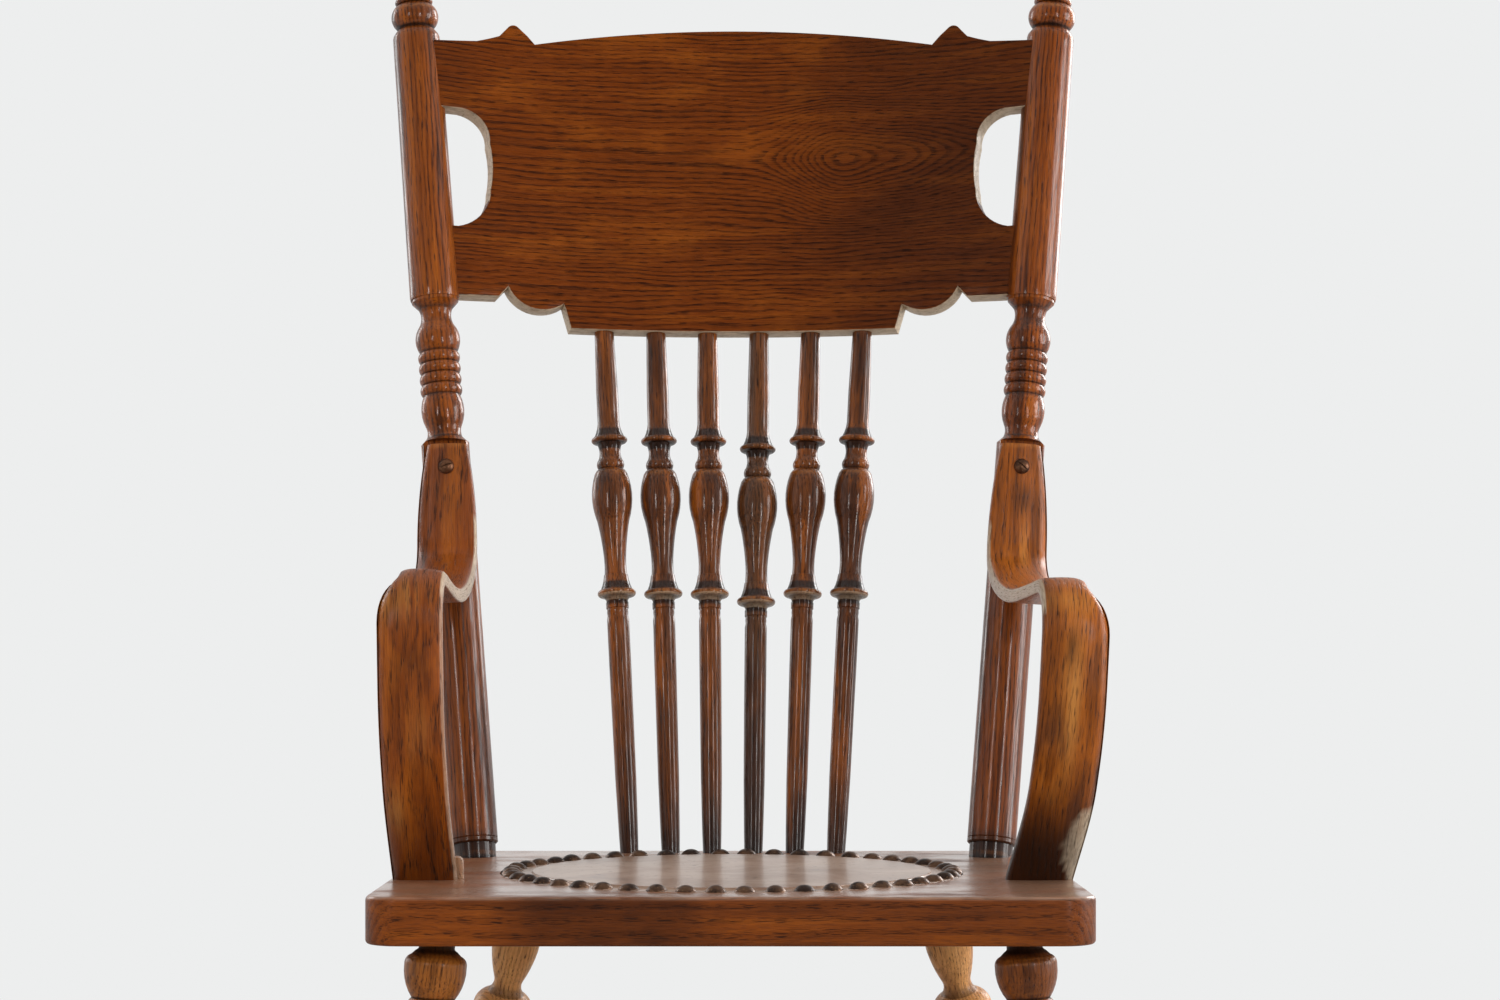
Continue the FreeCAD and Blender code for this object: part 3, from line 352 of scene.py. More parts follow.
def turnedProfile(start, sections):  # lengths, diameters and rows of shares of the two
    here = start
    rows = []
    for length, diameter, shares in sections:
        for row in shares:
            spots = [(diameter * wide / 2, here + length * far)
                     for far, wide in zip(row[::2], row[1::2])]
            rows.append(spots[0] + spots[-1] if len(spots) > 1 else spots[0])
        here += length
    if rows[-1][-2] > 0:
        rows.append((0, here))
    return traced((0, start), rows)


def turnedPiece(name, start, sections, steps):
    profile = turnedProfile(start, sections)
    return turned(name, profile, steps), profile


# Marks on a piece: where its fibres run, where it is worn, and where it is painted paler or darker
# for bare wood, fading and grime as well as for painted highlights and painted shade
def listed(items, key, width, kind=float):
    rows = np.empty(len(items) * width, dtype=kind)
    items.foreach_get(key, rows)
    return rows.reshape(-1, width)


def spotsOf(piece):
    return listed(piece.data.vertices, "co", 3)


def mark(piece, name, values):
    marks = piece.data.attributes.new(name, "FLOAT", "POINT")
    marks.data.foreach_set("value", values)


def markGrain(piece, order, offset):
    spots = spotsOf(piece)[:, list(order)] + np.array(offset)
    marks = piece.data.attributes.new("grain", "FLOAT_VECTOR", "POINT")
    marks.data.foreach_set("vector", spots.ravel())


def markWear(piece, strength=2.5):  # worn where it is convex; darker where it is hollow, as grime and painted shade
    spots = spotsOf(piece)
    normals = listed(piece.data.vertices, "normal", 3)
    ends = listed(piece.data.edges, "vertices", 2, int)
    total = np.zeros(len(spots))
    count = np.zeros(len(spots))
    for near, far in ((0, 1), (1, 0)):
        ways = spots[ends[:, far]] - spots[ends[:, near]]
        ways /= np.linalg.norm(ways, axis=1)[:, None] + 1e-9
        falls = -(ways * normals[ends[:, near]]).sum(axis=1)
        np.add.at(total, ends[:, near], falls)
        np.add.at(count, ends[:, near], 1)
    mark(piece, "wear", np.clip(total / np.maximum(count, 1) * strength, -1, 1))


def markTurning(piece, profile, window=0.006, depth=0.0028):  # the same on a turned piece
    rows = np.array([row for row in profile if row[0] > 0.0005])
    means = np.array([rows[np.abs(rows[:, 1] - height) < window, 0].mean()
                      for height in rows[:, 1]])
    wear = (rows[:, 0] - means) / depth
    order = np.argsort(rows[:, 1], kind="stable")
    here = np.interp(spotsOf(piece)[:, 2], rows[order, 1], wear[order])
    mark(piece, "wear", np.clip(here, -1, 1))


def markFoot(piece, height):  # darker towards the foot, where it meets the part below
    mark(piece, "sootAndShade", np.clip(1 - spotsOf(piece)[:, 2] / height, 0, 1))


def markBareAndLit(piece, test):  # painted pale: bare wood where the finish has gone, and painted light where edges catch light
    mark(piece, "bareAndLit", [float(test(vertex.co, vertex.normal))
                         for vertex in piece.data.vertices])


def markSpots(piece, name, rows):  # soft spots: along, across, length, width and strength
    spots = spotsOf(piece)
    total = np.zeros(len(spots))
    for along, across, long, wide, amount in rows:
        fall = ((spots[:, 0] - along) / long) ** 2 + ((spots[:, 2] - across) / wide) ** 2
        total += amount * np.exp(-fall)
    mark(piece, name, np.clip(total, 0, 1))


def ease(value, start, end):  # 0 at the start, 1 at the end, smooth in between
    share = min(1, max(0, (value - start) / (end - start)))
    return share * share * (3 - 2 * share)


def finishPiece(piece, material, slot, *nodes, angle=40):
    only(piece)
    piece.data.materials.clear()
    piece.data.materials.append(material)
    bpy.ops.object.shade_smooth_by_angle(angle=math.radians(angle))
    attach(piece, "root")
    if nodes:
        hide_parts(*nodes)


# Camera: it looks level over the seat, a little from above
camera = {
    "place": (0.0138, -3.28865, 0.848635),
    "pitch": 87,
    "lens": 102,
    "shiftY": 0.008,
}
bpy.ops.object.camera_add(location=camera["place"], rotation=(math.radians(camera["pitch"]), 0, 0))
eye = bpy.context.object
eye.data.lens = camera["lens"]
eye.data.shift_y = camera["shiftY"]
eye.data.dof.use_dof = False
bpy.context.scene.camera = eye
bpy.context.scene.view_settings.view_transform = "Standard"


# Room: a pale floor under the rockers, pale walls all round, and soft window light
room = {
    "floorRadius": 1.55,
    "wall": tone(237, 238, 238),
    "floor": tone(184, 183, 180),
    "floorCloud": tone(194, 193, 191),
    "glow": 0.5,
    "shade": 0.12,  # how bright the dark end of the room shows in gloss
    "shadeReach": (-0.98, -0.25),
    "windows": [
        {"place": (2.5, -0.2, 1.1), "aim": (0, 0, 0.8), "size": (1.3, 1.5), "watts": 44},
        {"place": (1.4, -2.7, 1.3), "aim": (0, 0, 0.75), "size": (0.25, 1.5), "watts": 20},
        {"place": (1.9, 2.1, 1.5), "aim": (0, 0.1, 0.75), "size": (0.9, 1.5), "watts": 44},
        {"place": (-2.2, 1.7, 1.4), "aim": (0, 0.1, 0.75), "size": (0.7, 1.5), "watts": 18},
        {"place": (-1.5, -2.5, 1.5), "aim": (0, 0, 0.75), "size": (0.2, 1.3), "watts": 11},
        {"place": (-0.4, -3.0, 2.4), "aim": (0, 0, 0.8), "size": (2.4, 2.0), "watts": 17,
         "soft": True},
    ],
}


def makeRoom():
    world = bpy.data.worlds.new("room")
    bpy.context.scene.world = world
    sky = Sheet(world)
    seen = sky.node("LightPath", {}, {}, "Is Camera Ray").math(
        "MAXIMUM", sky.node("LightPath", {}, {}, "Is Transmission Ray"))
    glossy = sky.node("LightPath", {}, {}, "Is Glossy Ray")
    way = sky.node("TexCoord", {}, {}, "Generated")
    depth = sky.node("SeparateXYZ", {}, {0: way}, "Y")
    mirror = depth.between(*room["shadeReach"]) * (1 - room["shade"]) + room["shade"]
    level = seen + glossy * mirror + (1 - seen - glossy) * room["glow"]
    light = sky.node("Background", {}, {"Color": room["wall"], "Strength": level})
    sky.node("OutputWorld", {}, {"Surface": light})

    bpy.ops.mesh.primitive_circle_add(vertices=96, radius=room["floorRadius"], fill_type="NGON")
    floor = bpy.context.object
    floor.name = "floor"
    paint = Finish("floorPaint")
    cloud = paint.noise(paint.spot(), 9.0, 4.0)
    colour = paint.mix(cloud, room["floor"], room["floorCloud"])
    floor.data.materials.append(paint.done({"Base Color": colour, "Roughness": 0.6}))
    for number, window in enumerate(room["windows"]):
        aim = Vector(window["aim"]) - Vector(window["place"])
        bpy.ops.object.light_add(type="AREA", location=window["place"],
                                 rotation=aim.to_track_quat("-Z", "Y").to_euler())
        lamp = bpy.context.object
        lamp.name = f"window{number}"
        lamp.data.shape = "RECTANGLE"
        lamp.data.size, lamp.data.size_y = window["size"]
        lamp.data.energy = window["watts"]
        lamp.visible_camera = False
        lamp.visible_glossy = not window.get("soft", False)


makeRoom()
print("room and camera made")


# Oak: rings of dark pores round a pith off to one side, under an old brown finish
plainOak = {
    "wood": tone(132, 64, 14),
    "porous": tone(62, 26, 5),
    "pore": tone(26, 11, 5),
    "stain": tone(44, 18, 6),
    "glow": tone(168, 88, 18),
    "grimeAndShade": tone(22, 10, 5),
    "crest": tone(176, 106, 44),
    "fadedAndLit": tone(196, 134, 66),
    "rawAndLit": tone(204, 184, 156),
    "ring": 0.0042,
    "contrast": 0.5,
    "pith": (0.05, 0.012),
    "wander": 0.008,
    "blotch": 9.0,
    "streaks": 0.5,
    "stainAmount": 0.7,  # how much of each tone shows
    "glowAmount": 0.3,
    "pores": 0.9,
    "grimeAndShadeAmount": 0.85,
    "crestAmount": 0.55,
    "rough": 0.38,
    "specular": 0.15,
    "coat": 0.35,
    "coatRough": 0.24,
    "relief": 0.0005,
    "sheen": None,
    # painted sheen tone for the seat's top
    "paintedSheen": tone(186, 148, 120),
    "tides": [],  # where it darkens towards one end: from, to and by how much
    "eye": None,
}


def oak(name, **changes):
    look = {**plainOak, **changes}
    finish = Finish(name)
    grain = finish.attribute("grain", "Vector")
    wear, bareAndLit, sootAndShade, fadeAndLit = map(finish.attribute, ("wear", "bareAndLit", "sootAndShade", "fadeAndLit"))
    a, b, c = finish.parts(grain)

    def drawn(along, scale, *rest):  # noise drawn out along the fibres
        return finish.noise(finish.stretch(grain, (1, 1, along)), scale, *rest)

    drift = (drawn(0.25, 18, 2) - 0.5) * look["wander"] * 2
    drift = drift + (drawn(0.3, 60, 3) - 0.5) * look["wander"] * 0.5
    if look["eye"]:  # the rings part round a knot, above and below the middle of the board
        eye = look["eye"]
        rise = b - eye["height"] + drift
        valley = (rise * rise + eye["flat"] ** 2) ** 0.5
        beyond = c - eye["across"]  # the knot's rings are drawn out to the right
        beyond = beyond * (1 - beyond.between(-0.01, 0.06) * 0.5)
        fall = (rise / eye["high"]) ** 2 + (beyond / eye["wide"]) ** 2
        radius = valley + a * 0.4 - (fall * -1).math("EXPONENT") * eye["depth"]
    else:
        depth = a + look["pith"][0] + drift
        across = b + look["pith"][1]
        radius = (depth * depth + across * across) ** 0.5
    jitter = drawn(0.1, 300, 2) - 0.5
    phase = (radius / look["ring"] + jitter * 0.55 + 40).math("FRACT")
    band = 1 - phase.between(0.15, 0.5) + phase.between(0.9, 1.0)
    patch = drawn(0.15, 60, 2)
    dashes = drawn(0.045, 950, 2, 0.6)
    streak = drawn(0.025, 1500, 3, 0.65)
    smear = drawn(0.07, 85, 3, 0.6)
    pores = drawn(0.05, 1700, 1).between(0.54, 0.64) * (band * 0.7 + 0.3) * look["pores"]
    blotch = drawn(0.35, look["blotch"], 4, 0.6, 0.6)
    cloud = drawn(0.5, look["blotch"] * 2.6 + 3, 3, 0.6)
    rub = finish.noise(grain, 160, 3)
    # painted shade: hollows are darkened as grime and as the shade that falls in them
    grimeAndShade = (wear * -1).between(0.08, 0.6) * (1 - bareAndLit) * look["grimeAndShadeAmount"]
    dark = band * (dashes.between(0.3, 0.62) * 0.55 + 0.45) * look["contrast"]
    dark = dark * (patch.between(0.35, 0.6) * 0.6 + 0.4)
    colour = finish.mix(dark, look["wood"], look["porous"])
    layers = [
        (streak.between(0.5, 0.75) * 0.35, "glow"),
        (streak.between(0.5, 0.25) * 0.4, "stain"),
        (blotch.between(0.48, 0.7) * look["stainAmount"], "stain"),
        (cloud.between(0.5, 0.72) * look["glowAmount"], "glow"),
        (smear.between(0.52, 0.66) * look["streaks"], "stain"),
        (smear.between(0.47, 0.34) * look["streaks"], "glow"),
        # pale patches: worn finish, partly painted highlight
        (fadeAndLit * smear.between(0.62, 0.42), "fadedAndLit"),
        *((c.between(low, high) * amount, "stain") for low, high, amount in look["tides"]),
        (wear.between(0.15, 0.75) * rub.between(0.3, 0.6) * look["crestAmount"], "crest"),
        # bare wood and painted light: the marked edges and coves are painted pale
        (bareAndLit * (rub.between(0.2, 0.6) * 0.35 + 0.65) * (1 - pores * 0.5), "rawAndLit"),
        (pores * (1 - bareAndLit * 0.6) * 0.85, "pore"),
        (grimeAndShade, "grimeAndShade"),
        # grime and painted shade: darker at the feet and in spots along the arms' edges
        (sootAndShade * (blotch * 0.8 + 0.5) * 0.9, "grimeAndShade"),
    ]
    for factor, layer in layers:
        colour = finish.mix(factor, colour, look[layer])
    rough = streak * 0.16 + pores * 0.25 + grimeAndShade * 0.25 + blotch * 0.1 + (look["rough"] - 0.13)
    height = streak * 0.3 - pores - band * 0.15 + blotch * 1.2
    coat = (streak.between(0.42, 0.58) * 0.75 + 0.25) * look["coat"]  # broken highlights
    if look["sheen"]:
        low, high = look["sheen"]
        top = a.between(low, high)
        coat = top * cloud.between(0.3, 0.6) + coat
        # painted sheen: the seat's top is mixed towards a pale tone that stands in for its grazing
        # reflection
        colour = finish.mix(top * cloud.between(0.25, 0.6) * 0.5, colour, look["paintedSheen"])
    return finish.done({"Base Color": colour, "Roughness": rough,
                        "Normal": finish.bump(height, look["relief"], 0.9), "IOR": 1.5,
                        "Specular IOR Level": look["specular"], "Coat Weight": coat,
                        "Coat Roughness": look["coatRough"]})


boardOak = oak("headboardOak", ring=0.0044, wander=0.012, contrast=0.88, wood=tone(114, 51, 5),
               eye={"height": 0.588, "across": 0.094, "flat": 0.012, "high": 0.044,
                    "wide": 0.046, "depth": 0.04},
               tides=[(0.0, 0.16, 0.45), (-0.2, -0.245, 0.2)], stainAmount=0.35,
               specular=0.06, coat=0.12, streaks=0.22)
postLook = {"ring": 0.0036, "contrast": 0.75, "specular": 0.1, "coat": 0.75, "coatRough": 0.15,
            "streaks": 0.7}
postOaks = {
    "left": oak("leftPostOak", wood=tone(138, 67, 9), **postLook,
                tides=[(0.3, 0.12, 0.25), (0.025, 0.005, 0.8)]),
    "right": oak("rightPostOak", wood=tone(130, 61, 7), **postLook,
                 tides=[(2.1, 1.9, 0.25), (1.725, 1.705, 0.8)]),
}
spindleLook = {"ring": 0.0026, "contrast": 0.45, "specular": 0.14, "coat": 0.8, "coatRough": 0.13,
               "relief": 0.0009, "streaks": 0.65}
spindleOak = oak("spindleOak", wood=tone(104, 53, 11), **spindleLook)
duskyOak = oak("duskySpindleOak", wood=tone(88, 52, 24), porous=tone(46, 25, 12),
               **{**spindleLook, "streaks": 0.25})
armLook = {"wood": tone(138, 66, 13), "porous": tone(84, 38, 8), "glow": tone(186, 100, 22),
           "ring": 0.0022, "contrast": 0.4, "blotch": 12.0, "glowAmount": 0.5, "coat": 0.25,
           "streaks": 0.45}
armOaks = {
    "left": oak("leftArmOak", **armLook, tides=[(-0.6, -0.69, 0.6)]),
    "right": oak("rightArmOak", **{**armLook, "wood": tone(162, 84, 15)},
                 tides=[(0.81, 0.74, 0.8), (0.77, 0.73, 0.6)]),
}
seatOak = oak("seatOak", wood=tone(132, 64, 14), ring=0.004, contrast=0.32, coat=0.15,
              streaks=0.35, sheen=(0.017, 0.0194), tides=[(0.2, 0.54, 0.3)])
legLook = {"ring": 0.003, "porous": tone(84, 42, 12)}
legOak = oak("legOak", wood=tone(150, 82, 26), **legLook)
# painted light and shade: the same oak, paler on the lit left leg and darker on the shaded right
# one
litAndShadedLegOaks = {
    "left": oak("leftLegOak", wood=tone(164, 98, 38), **legLook),
    "right": oak("rightLegOak", wood=tone(118, 62, 20), **legLook),
}
# painted light: the rear legs' wood is painted pale, standing in for the backlight on them
rearLegOak = oak("rearLegOak", wood=tone(216, 154, 92), porous=tone(160, 102, 52), ring=0.003,
                 glow=tone(226, 172, 108), stain=tone(140, 84, 40), stainAmount=0.3, streaks=0.4)


# Back posts: two plain lengths with a vase between them and a finial on top
post = {
    "neck": (0.009, 0.0345),
    "lower": (0.327, 0.0388),
    "vase": (0.122, 0.0364),
    "upper": (0.227, 0.0405),
    "finial": (0.087, 0.0387),
    "sink": 0.004,
    "notchShare": 0.55,
    "sootAndShade": 0.018,
}


def rings(first, last, count, valley, crest):
    pitch = (last - first) / count
    starts = [first + pitch * ring for ring in range(count)]
    return [(start + pitch / 2, crest, start + pitch, valley) for start in starts]


postLowerShares = [(0, 0.93), (0.004, 1), (0.012, 1), (0.0135, 0.975), (0.015, 1), (1, 1)]
postVaseShares = [
    (0, 1.071), (0.041, 0.81),
    (0.082, 0.742, 0.131, 0.813),
    (0.234, 0.956, 0.332, 0.824),
    *rings(0.332, 0.632, 4, 0.824, 0.934),
    (0.717, 0.997, 0.803, 0.838),
    (0.873, 0.673, 0.934, 0.755),
    (0.98, 1.044), (1, 1.044),
]
postUpperShares = [(0, 0.98), (0.01, 1), (0.99, 0.951), (1, 0.92)]
postFinialShares = [
    (0.069, 0.749),
    (0.172, 1, 0.307, 0.698),
    (0.338, 0.801, 0.37, 0.698),
    (0.414, 0.556, 0.46, 0.53),
    (0.678, 0.891, 0.885, 0.362),
    (0.914, 0.413),
    (0.977, 0.31, 1, 0.155),
]

# Arms: strips that rise from the seat, roll over and run back to the posts
arm = {
    "width": 0.048,
    "thickness": 0.013,
    "tipWidth": 0.033,
    "footSpacing": 0.226,
    "footSetback": 0.138,
    "kneeSetback": 0.080,
    "kneeHeight": 0.114,
    "crestSetback": 0.076,
    "kneeRadius": 0.150,
    "crestRadius": 0.040,
    "bendRadius": 0.034,
    "flat": 0.0087,
    "meetHeight": 0.300,
    "tipHeight": 0.332,
    "taperShare": 0.92,
    "flatRise": 0.0055,
    "dipSetback": 0.392,
    "outerArris": 0.009,
    "innerArris": 0.0035,
    "backArris": 0.002,
    "strip": 0.004,
    "sink": 0.012,
    "handles": (0.024, 0.06),  # of the line, where it leaves the crest and where it sags
    "crown": 0.0026,
    "rollCrown": 0.7,
    "rollReach": (0.06, 0.04),
    "shoulder": 0.012,
    "shoulderReach": (0.02, 0.046),
    "bellyRise": (-0.03, 0.09),
    "bellyFall": (0.02, 0.12),
    # painted highlight on a worn facet at the right foot: its width, and where it starts, is
    # widest and ends
    "facet": (0.0085, -0.01, 0.03, 0.062),  # width, and where it starts, is widest and ends
    "innerLit": 0.8,
    "facetLit": 0.6,
    "left": {"bow": 0.005, "crest": 0.2335, "dip": 0.213, "slot": 20, "belly": 0.004,
             "spread": 1, "sagShare": 0.52, "sag": 0.007, "rise": 0.034, "riserLit": 0.4,
             "fadeAndLit": [(0.072, 0.019, 0.018, 0.005, 0.8), (0.238, 0.012, 0.016, 0.02, 0.5),
                      (0.13, -0.004, 0.03, 0.008, 0.3)],
             "sootAndShade": [(0.19, 0.002, 0.014, 0.009, 0.6), (0.16, 0.014, 0.04, 0.006, 0.4),
                      (0.07, 0, 0.04, 0.012, 0.35), (-0.05, 0, 0.03, 0.02, 0.3)]},
    "right": {"bow": 0.019, "crest": 0.228, "dip": 0.206, "slot": -35, "belly": 0.0108,
              "spread": 1.03, "sagShare": 0.5, "sag": 0.002, "rise": 0.038, "riserLit": 0,
              "fadeAndLit": [(0.16, 0.009, 0.05, 0.008, 0.7), (0.1, -0.002, 0.02, 0.006, 0.6),
                       (0.236, 0.002, 0.01, 0.024, 0.35), (-0.09, 0.002, 0.026, 0.009, 0.5)],
              "sootAndShade": [(0.2, 0.006, 0.014, 0.004, 0.9), (0.15, -0.02, 0.09, 0.007, 0.6),
                       (0.03, -0.004, 0.034, 0.03, 0.75), (-0.046, 0.003, 0.012, 0.008, 0.9),
                       (-0.06, -0.016, 0.05, 0.004, 0.5), (-0.06, 0.016, 0.05, 0.004, 0.4)]},
}


def rightOf(way):
    return Vector((0, way.z, -way.y)).normalized()


def armLine(name):  # the plane that an arm lies in, and the corners of its face's line
    side = sides[name]
    own = arm[name]
    foot = Vector((side * arm["footSpacing"], arm["footSetback"], 0))
    crest = Vector((side * (arm["footSpacing"] + own["bow"]), arm["crestSetback"], own["crest"]))
    toSeat = seatFrame.inverted() @ postFrame(side)
    meet = toSeat @ Vector((0, 0, arm["meetHeight"]))
    across = (crest - foot).cross(meet - foot).normalized()
    across *= math.copysign(1, across.x)
    back = (Vector((0, 1, 0)) - across * across.y).normalized()
    plane = framed(across, back, across.cross(back), foot - back * foot.y)
    toPlane = plane.inverted() @ toSeat
    low = toPlane @ Vector()
    tipMiddle = toPlane @ Vector((0, 0, arm["tipHeight"]))
    low.x = tipMiddle.x = 0
    postWay = (tipMiddle - low).normalized()
    tip = tipMiddle - rightOf(postWay) * (arm["flat"] + arm["thickness"])
    knee = Vector((0, arm["kneeSetback"], arm["kneeHeight"]))
    top = Vector((0, arm["crestSetback"], own["crest"]))
    dip = Vector((0, arm["dipSetback"], own["dip"]))
    heel = Vector((0, arm["footSetback"], 0))
    backward = (dip - top).normalized()
    gap = tip - top
    spread = backward.y * postWay.z - backward.z * postWay.y
    bend = top + backward * ((gap.y * postWay.z - gap.z * postWay.y) / spread)
    start = heel - (knee - heel).normalized() * arm["sink"]
    return seatFrame @ plane, [start, knee, top, bend, tip], postWay, heel


armLines = {name: armLine(name) for name in sides}


def tipFrame(name):  # origin at the tip's face, y into the strip and z up the post
    plane, corners, postWay, heel = armLines[name]
    return plane @ framed((1, 0, 0), rightOf(postWay), postWay, corners[-1])


def makePosts():
    sections = [
        (post["sink"], post["neck"][1], [(0, 1), (1, 1)]),
        (*post["neck"], [(1, 1)]),
        (*post["lower"], postLowerShares),
        (*post["vase"], postVaseShares),
        (*post["upper"], postUpperShares),
        (*post["finial"], postFinialShares),
    ]
    blank, profile = turnedPiece("postBlank", -post["sink"], sections, 64)
    for number, (name, side) in enumerate(sides.items()):
        piece = copyOf(blank, f"{name}Post")
        corners = armLines[name][1]
        run = (corners[-1] - corners[-2]).length
        reach = post["lower"][1]
        low = (-reach, -reach * 2, arm[name]["rise"] * post["notchShare"] - run)
        high = (reach, arm["thickness"], arm["flatRise"])
        cutAway(piece, blockTool(low, high, postFrame(side).inverted() @ tipFrame(name)))
        tidy(piece)
        markGrain(piece, (0, 1, 2), (0.02 * number, 0.013 * number, 1.7 * number))
        markFoot(piece, post["sootAndShade"])
        markTurning(piece, profile)
        place(piece, postFrame(side))
        finishPiece(piece, postOaks[name], "dark_oak", f"post_{name}")
    bpy.data.objects.remove(blank)


makePosts()
print("posts turned")


# Headboard: a bent board with shaped ends, ears and a low crown
board = {
    "low": 0.438,
    "height": 0.260,
    "thickness": 0.020,
    "sagitta": 0.040,
    "arris": 0.0013,
    "strip": 0.008,
}
splaySlope = math.tan(math.radians(chair["postSplay"]))
boardChord = chair["postSpacing"] + board["low"] * splaySlope
boardRadius = (boardChord ** 2 + board["sagitta"] ** 2) / (2 * board["sagitta"])
boardReach = boardChord + board["height"] / 2 * splaySlope
boardShares = [
    (0.525, -0.002),
    (0.548, 0.077),
    (0.625, 0.054, 0.727, 0.1227),
    (0.756, 0.0892),
    (1, 0.08),
    (1, 0.309),
    (0.888, 0.309),
    (0.822, 0.346, 0.789, 0.435),
    (0.7835, 0.5135, 0.794, 0.588),
    (0.82, 0.663, 0.884, 0.696),
    (1, 0.697),
    (1, 0.913),
    (0.84, 0.926),
    (0.8, 0.938, 0.766, 0.95),
    (0.7365, 0.9835),
    (0.7213, 0.9895, 0.7066, 0.984),
    (0.6756, 0.9565),
    (0.6517, 0.9304),
]


def boardSurface(across, offset=0):
    radius = boardRadius + offset
    return board["sagitta"] - boardRadius + math.sqrt(radius ** 2 - across ** 2)


def makeHeadboard():
    def placed(share, index):
        return share * (boardReach if index % 2 == 0 else board["height"])

    rows = [tuple(placed(share, index) for index, share in enumerate(row)) for row in boardShares]
    half = traced((0, 0), rows, 0.005)
    x, z = half[-1]
    crown = arcPoints((x, z), (0, board["height"]), (-x, z), 0.005)
    outline = half[1:] + crown[:-1] + [(-x, z) for x, z in half[:0:-1]]
    face = boardRadius - board["thickness"] / 2  # the outline holds on the front face
    flat = [(boardRadius * math.asin(x / face), z + board["low"]) for x, z in outline]
    piece = cutOut(flat, board["thickness"])
    piece.name = "headboard"
    softenFaces(piece, board["thickness"], board["arris"], 3)
    reach = max(x for x, z in flat)
    strip = board["strip"]
    wide, high = int(reach / strip), int(board["height"] / strip)
    sliceAcross(piece, (1, 0, 0), [number * strip for number in range(-wide, wide + 1)])
    sliceAcross(piece, (0, 0, 1), [board["low"] + number * strip for number in range(1, high)])
    tidy(piece)
    markGrain(piece, (1, 2, 0), (0, 0, 0))
    markWear(piece)
    # bare wood and painted light: rims that don't face up are painted pale, as unstained edges and
    # as light bounced up onto them
    markBareAndLit(piece, lambda spot, normal: normal.z < 0.25 and abs(normal.y) < 0.6)
    modify(piece, "SIMPLE_DEFORM", deform_method="BEND", deform_axis="Z",
           angle=-2 * reach / boardRadius)
    place(piece, backFrame @ movedBy(0, board["sagitta"], 0))
    finishPiece(piece, boardOak, "dark_oak", "headboard")


makeHeadboard()
print("headboard bent")


# Spindles: six turned rods from the seat to the underside of the headboard
spindle = {
    "count": 6,
    "setback": 0.394,
    "seatPitch": 0.033,
    "topPitch": 0.0424,
    "shaft": 0.0175,
    "vase": 0.0326,
    "lowerLength": 0.1988,
    "turningLength": 0.1592,
    "drop": 0.0065,
    "low": 4,  # one spindle's turning sits lower, and it is dusky
    "sink": 0.004,
    "sootAndShade": 0.06,
    "cove": (0.058, 0.004),  # its share of the turning, and half its height
}
spindleLowerShares = [
    (0.075, 0.88), (0.3, 0.97), (0.77, 1.02), (0.955, 1.02), (0.972, 0.95), (0.985, 0.98),
    (1, 0.96),
]
spindleTurningShares = [
    (0.003, 0.558), (0.033, 0.558), (0.036, 0.528),
    (0.054, 0.6, 0.064, 0.8),
    (0.08, 0.955, 0.097, 0.8),
    (0.127, 0.69, 0.175, 0.598),
    (0.177, 0.561),
    (0.221, 0.54, 0.265, 0.549),
    (0.353, 0.632, 0.46, 0.804),
    (0.614, 1, 0.706, 0.82),
    (0.722, 0.72), (0.73, 0.613),
    (0.754, 0.687, 0.78, 0.598),
    (0.828, 0.528, 0.865, 0.629),
    (0.869, 0.77),
    (0.883, 0.9, 0.897, 0.77),
    (0.931, 0.629, 1, 0.546),
]
spindleUpperShares = [(0.32, 1.02), (1, 0.9)]


def makeSpindles():
    for number in range(spindle["count"]):
        spot = number - (spindle["count"] - 1) / 2
        foot = seatFrame @ Vector((spot * spindle["seatPitch"], spindle["setback"], 0))
        across = spot * spindle["topPitch"]
        head = backFrame @ Vector((across, boardSurface(across), board["low"]))
        length = (head - foot).length
        lower = spindle["lowerLength"]
        if number + 1 == spindle["low"]:
            lower -= spindle["drop"]
        upper = length - lower - spindle["turningLength"]
        sections = [
            (spindle["sink"], spindle["shaft"], [(0, 0.83), (1, 0.83)]),
            (lower, spindle["shaft"], spindleLowerShares),
            (spindle["turningLength"], spindle["vase"], spindleTurningShares),
            (upper, spindle["shaft"], spindleUpperShares),
            (spindle["sink"], spindle["shaft"], [(1, spindleUpperShares[-1][1])]),
        ]
        name = f"backSpindle{number + 1}"
        piece, profile = turnedPiece(name, -spindle["sink"], sections, 40)
        markGrain(piece, (0, 1, 2), (0.011 * number, 0.017 * number, 0.9 * number))
        markFoot(piece, spindle["sootAndShade"])
        markTurning(piece, profile)
        share, half = spindle["cove"]
        cove = lower + spindle["turningLength"] * share

        def bounceLit(spot, normal):  # painted light: the cove's downward face is painted pale for light bounced up from the seat
            return 0.5 * (normal.z < -0.3 and abs(spot.z - cove) < half)
        markBareAndLit(piece, bounceLit)
        place(piece, frameAlong(foot, head))
        material = duskyOak if number + 1 == spindle["low"] else spindleOak
        finishPiece(piece, material, "dark_oak", f"back_spindle_{number + 1}")


makeSpindles()
print("spindles turned")


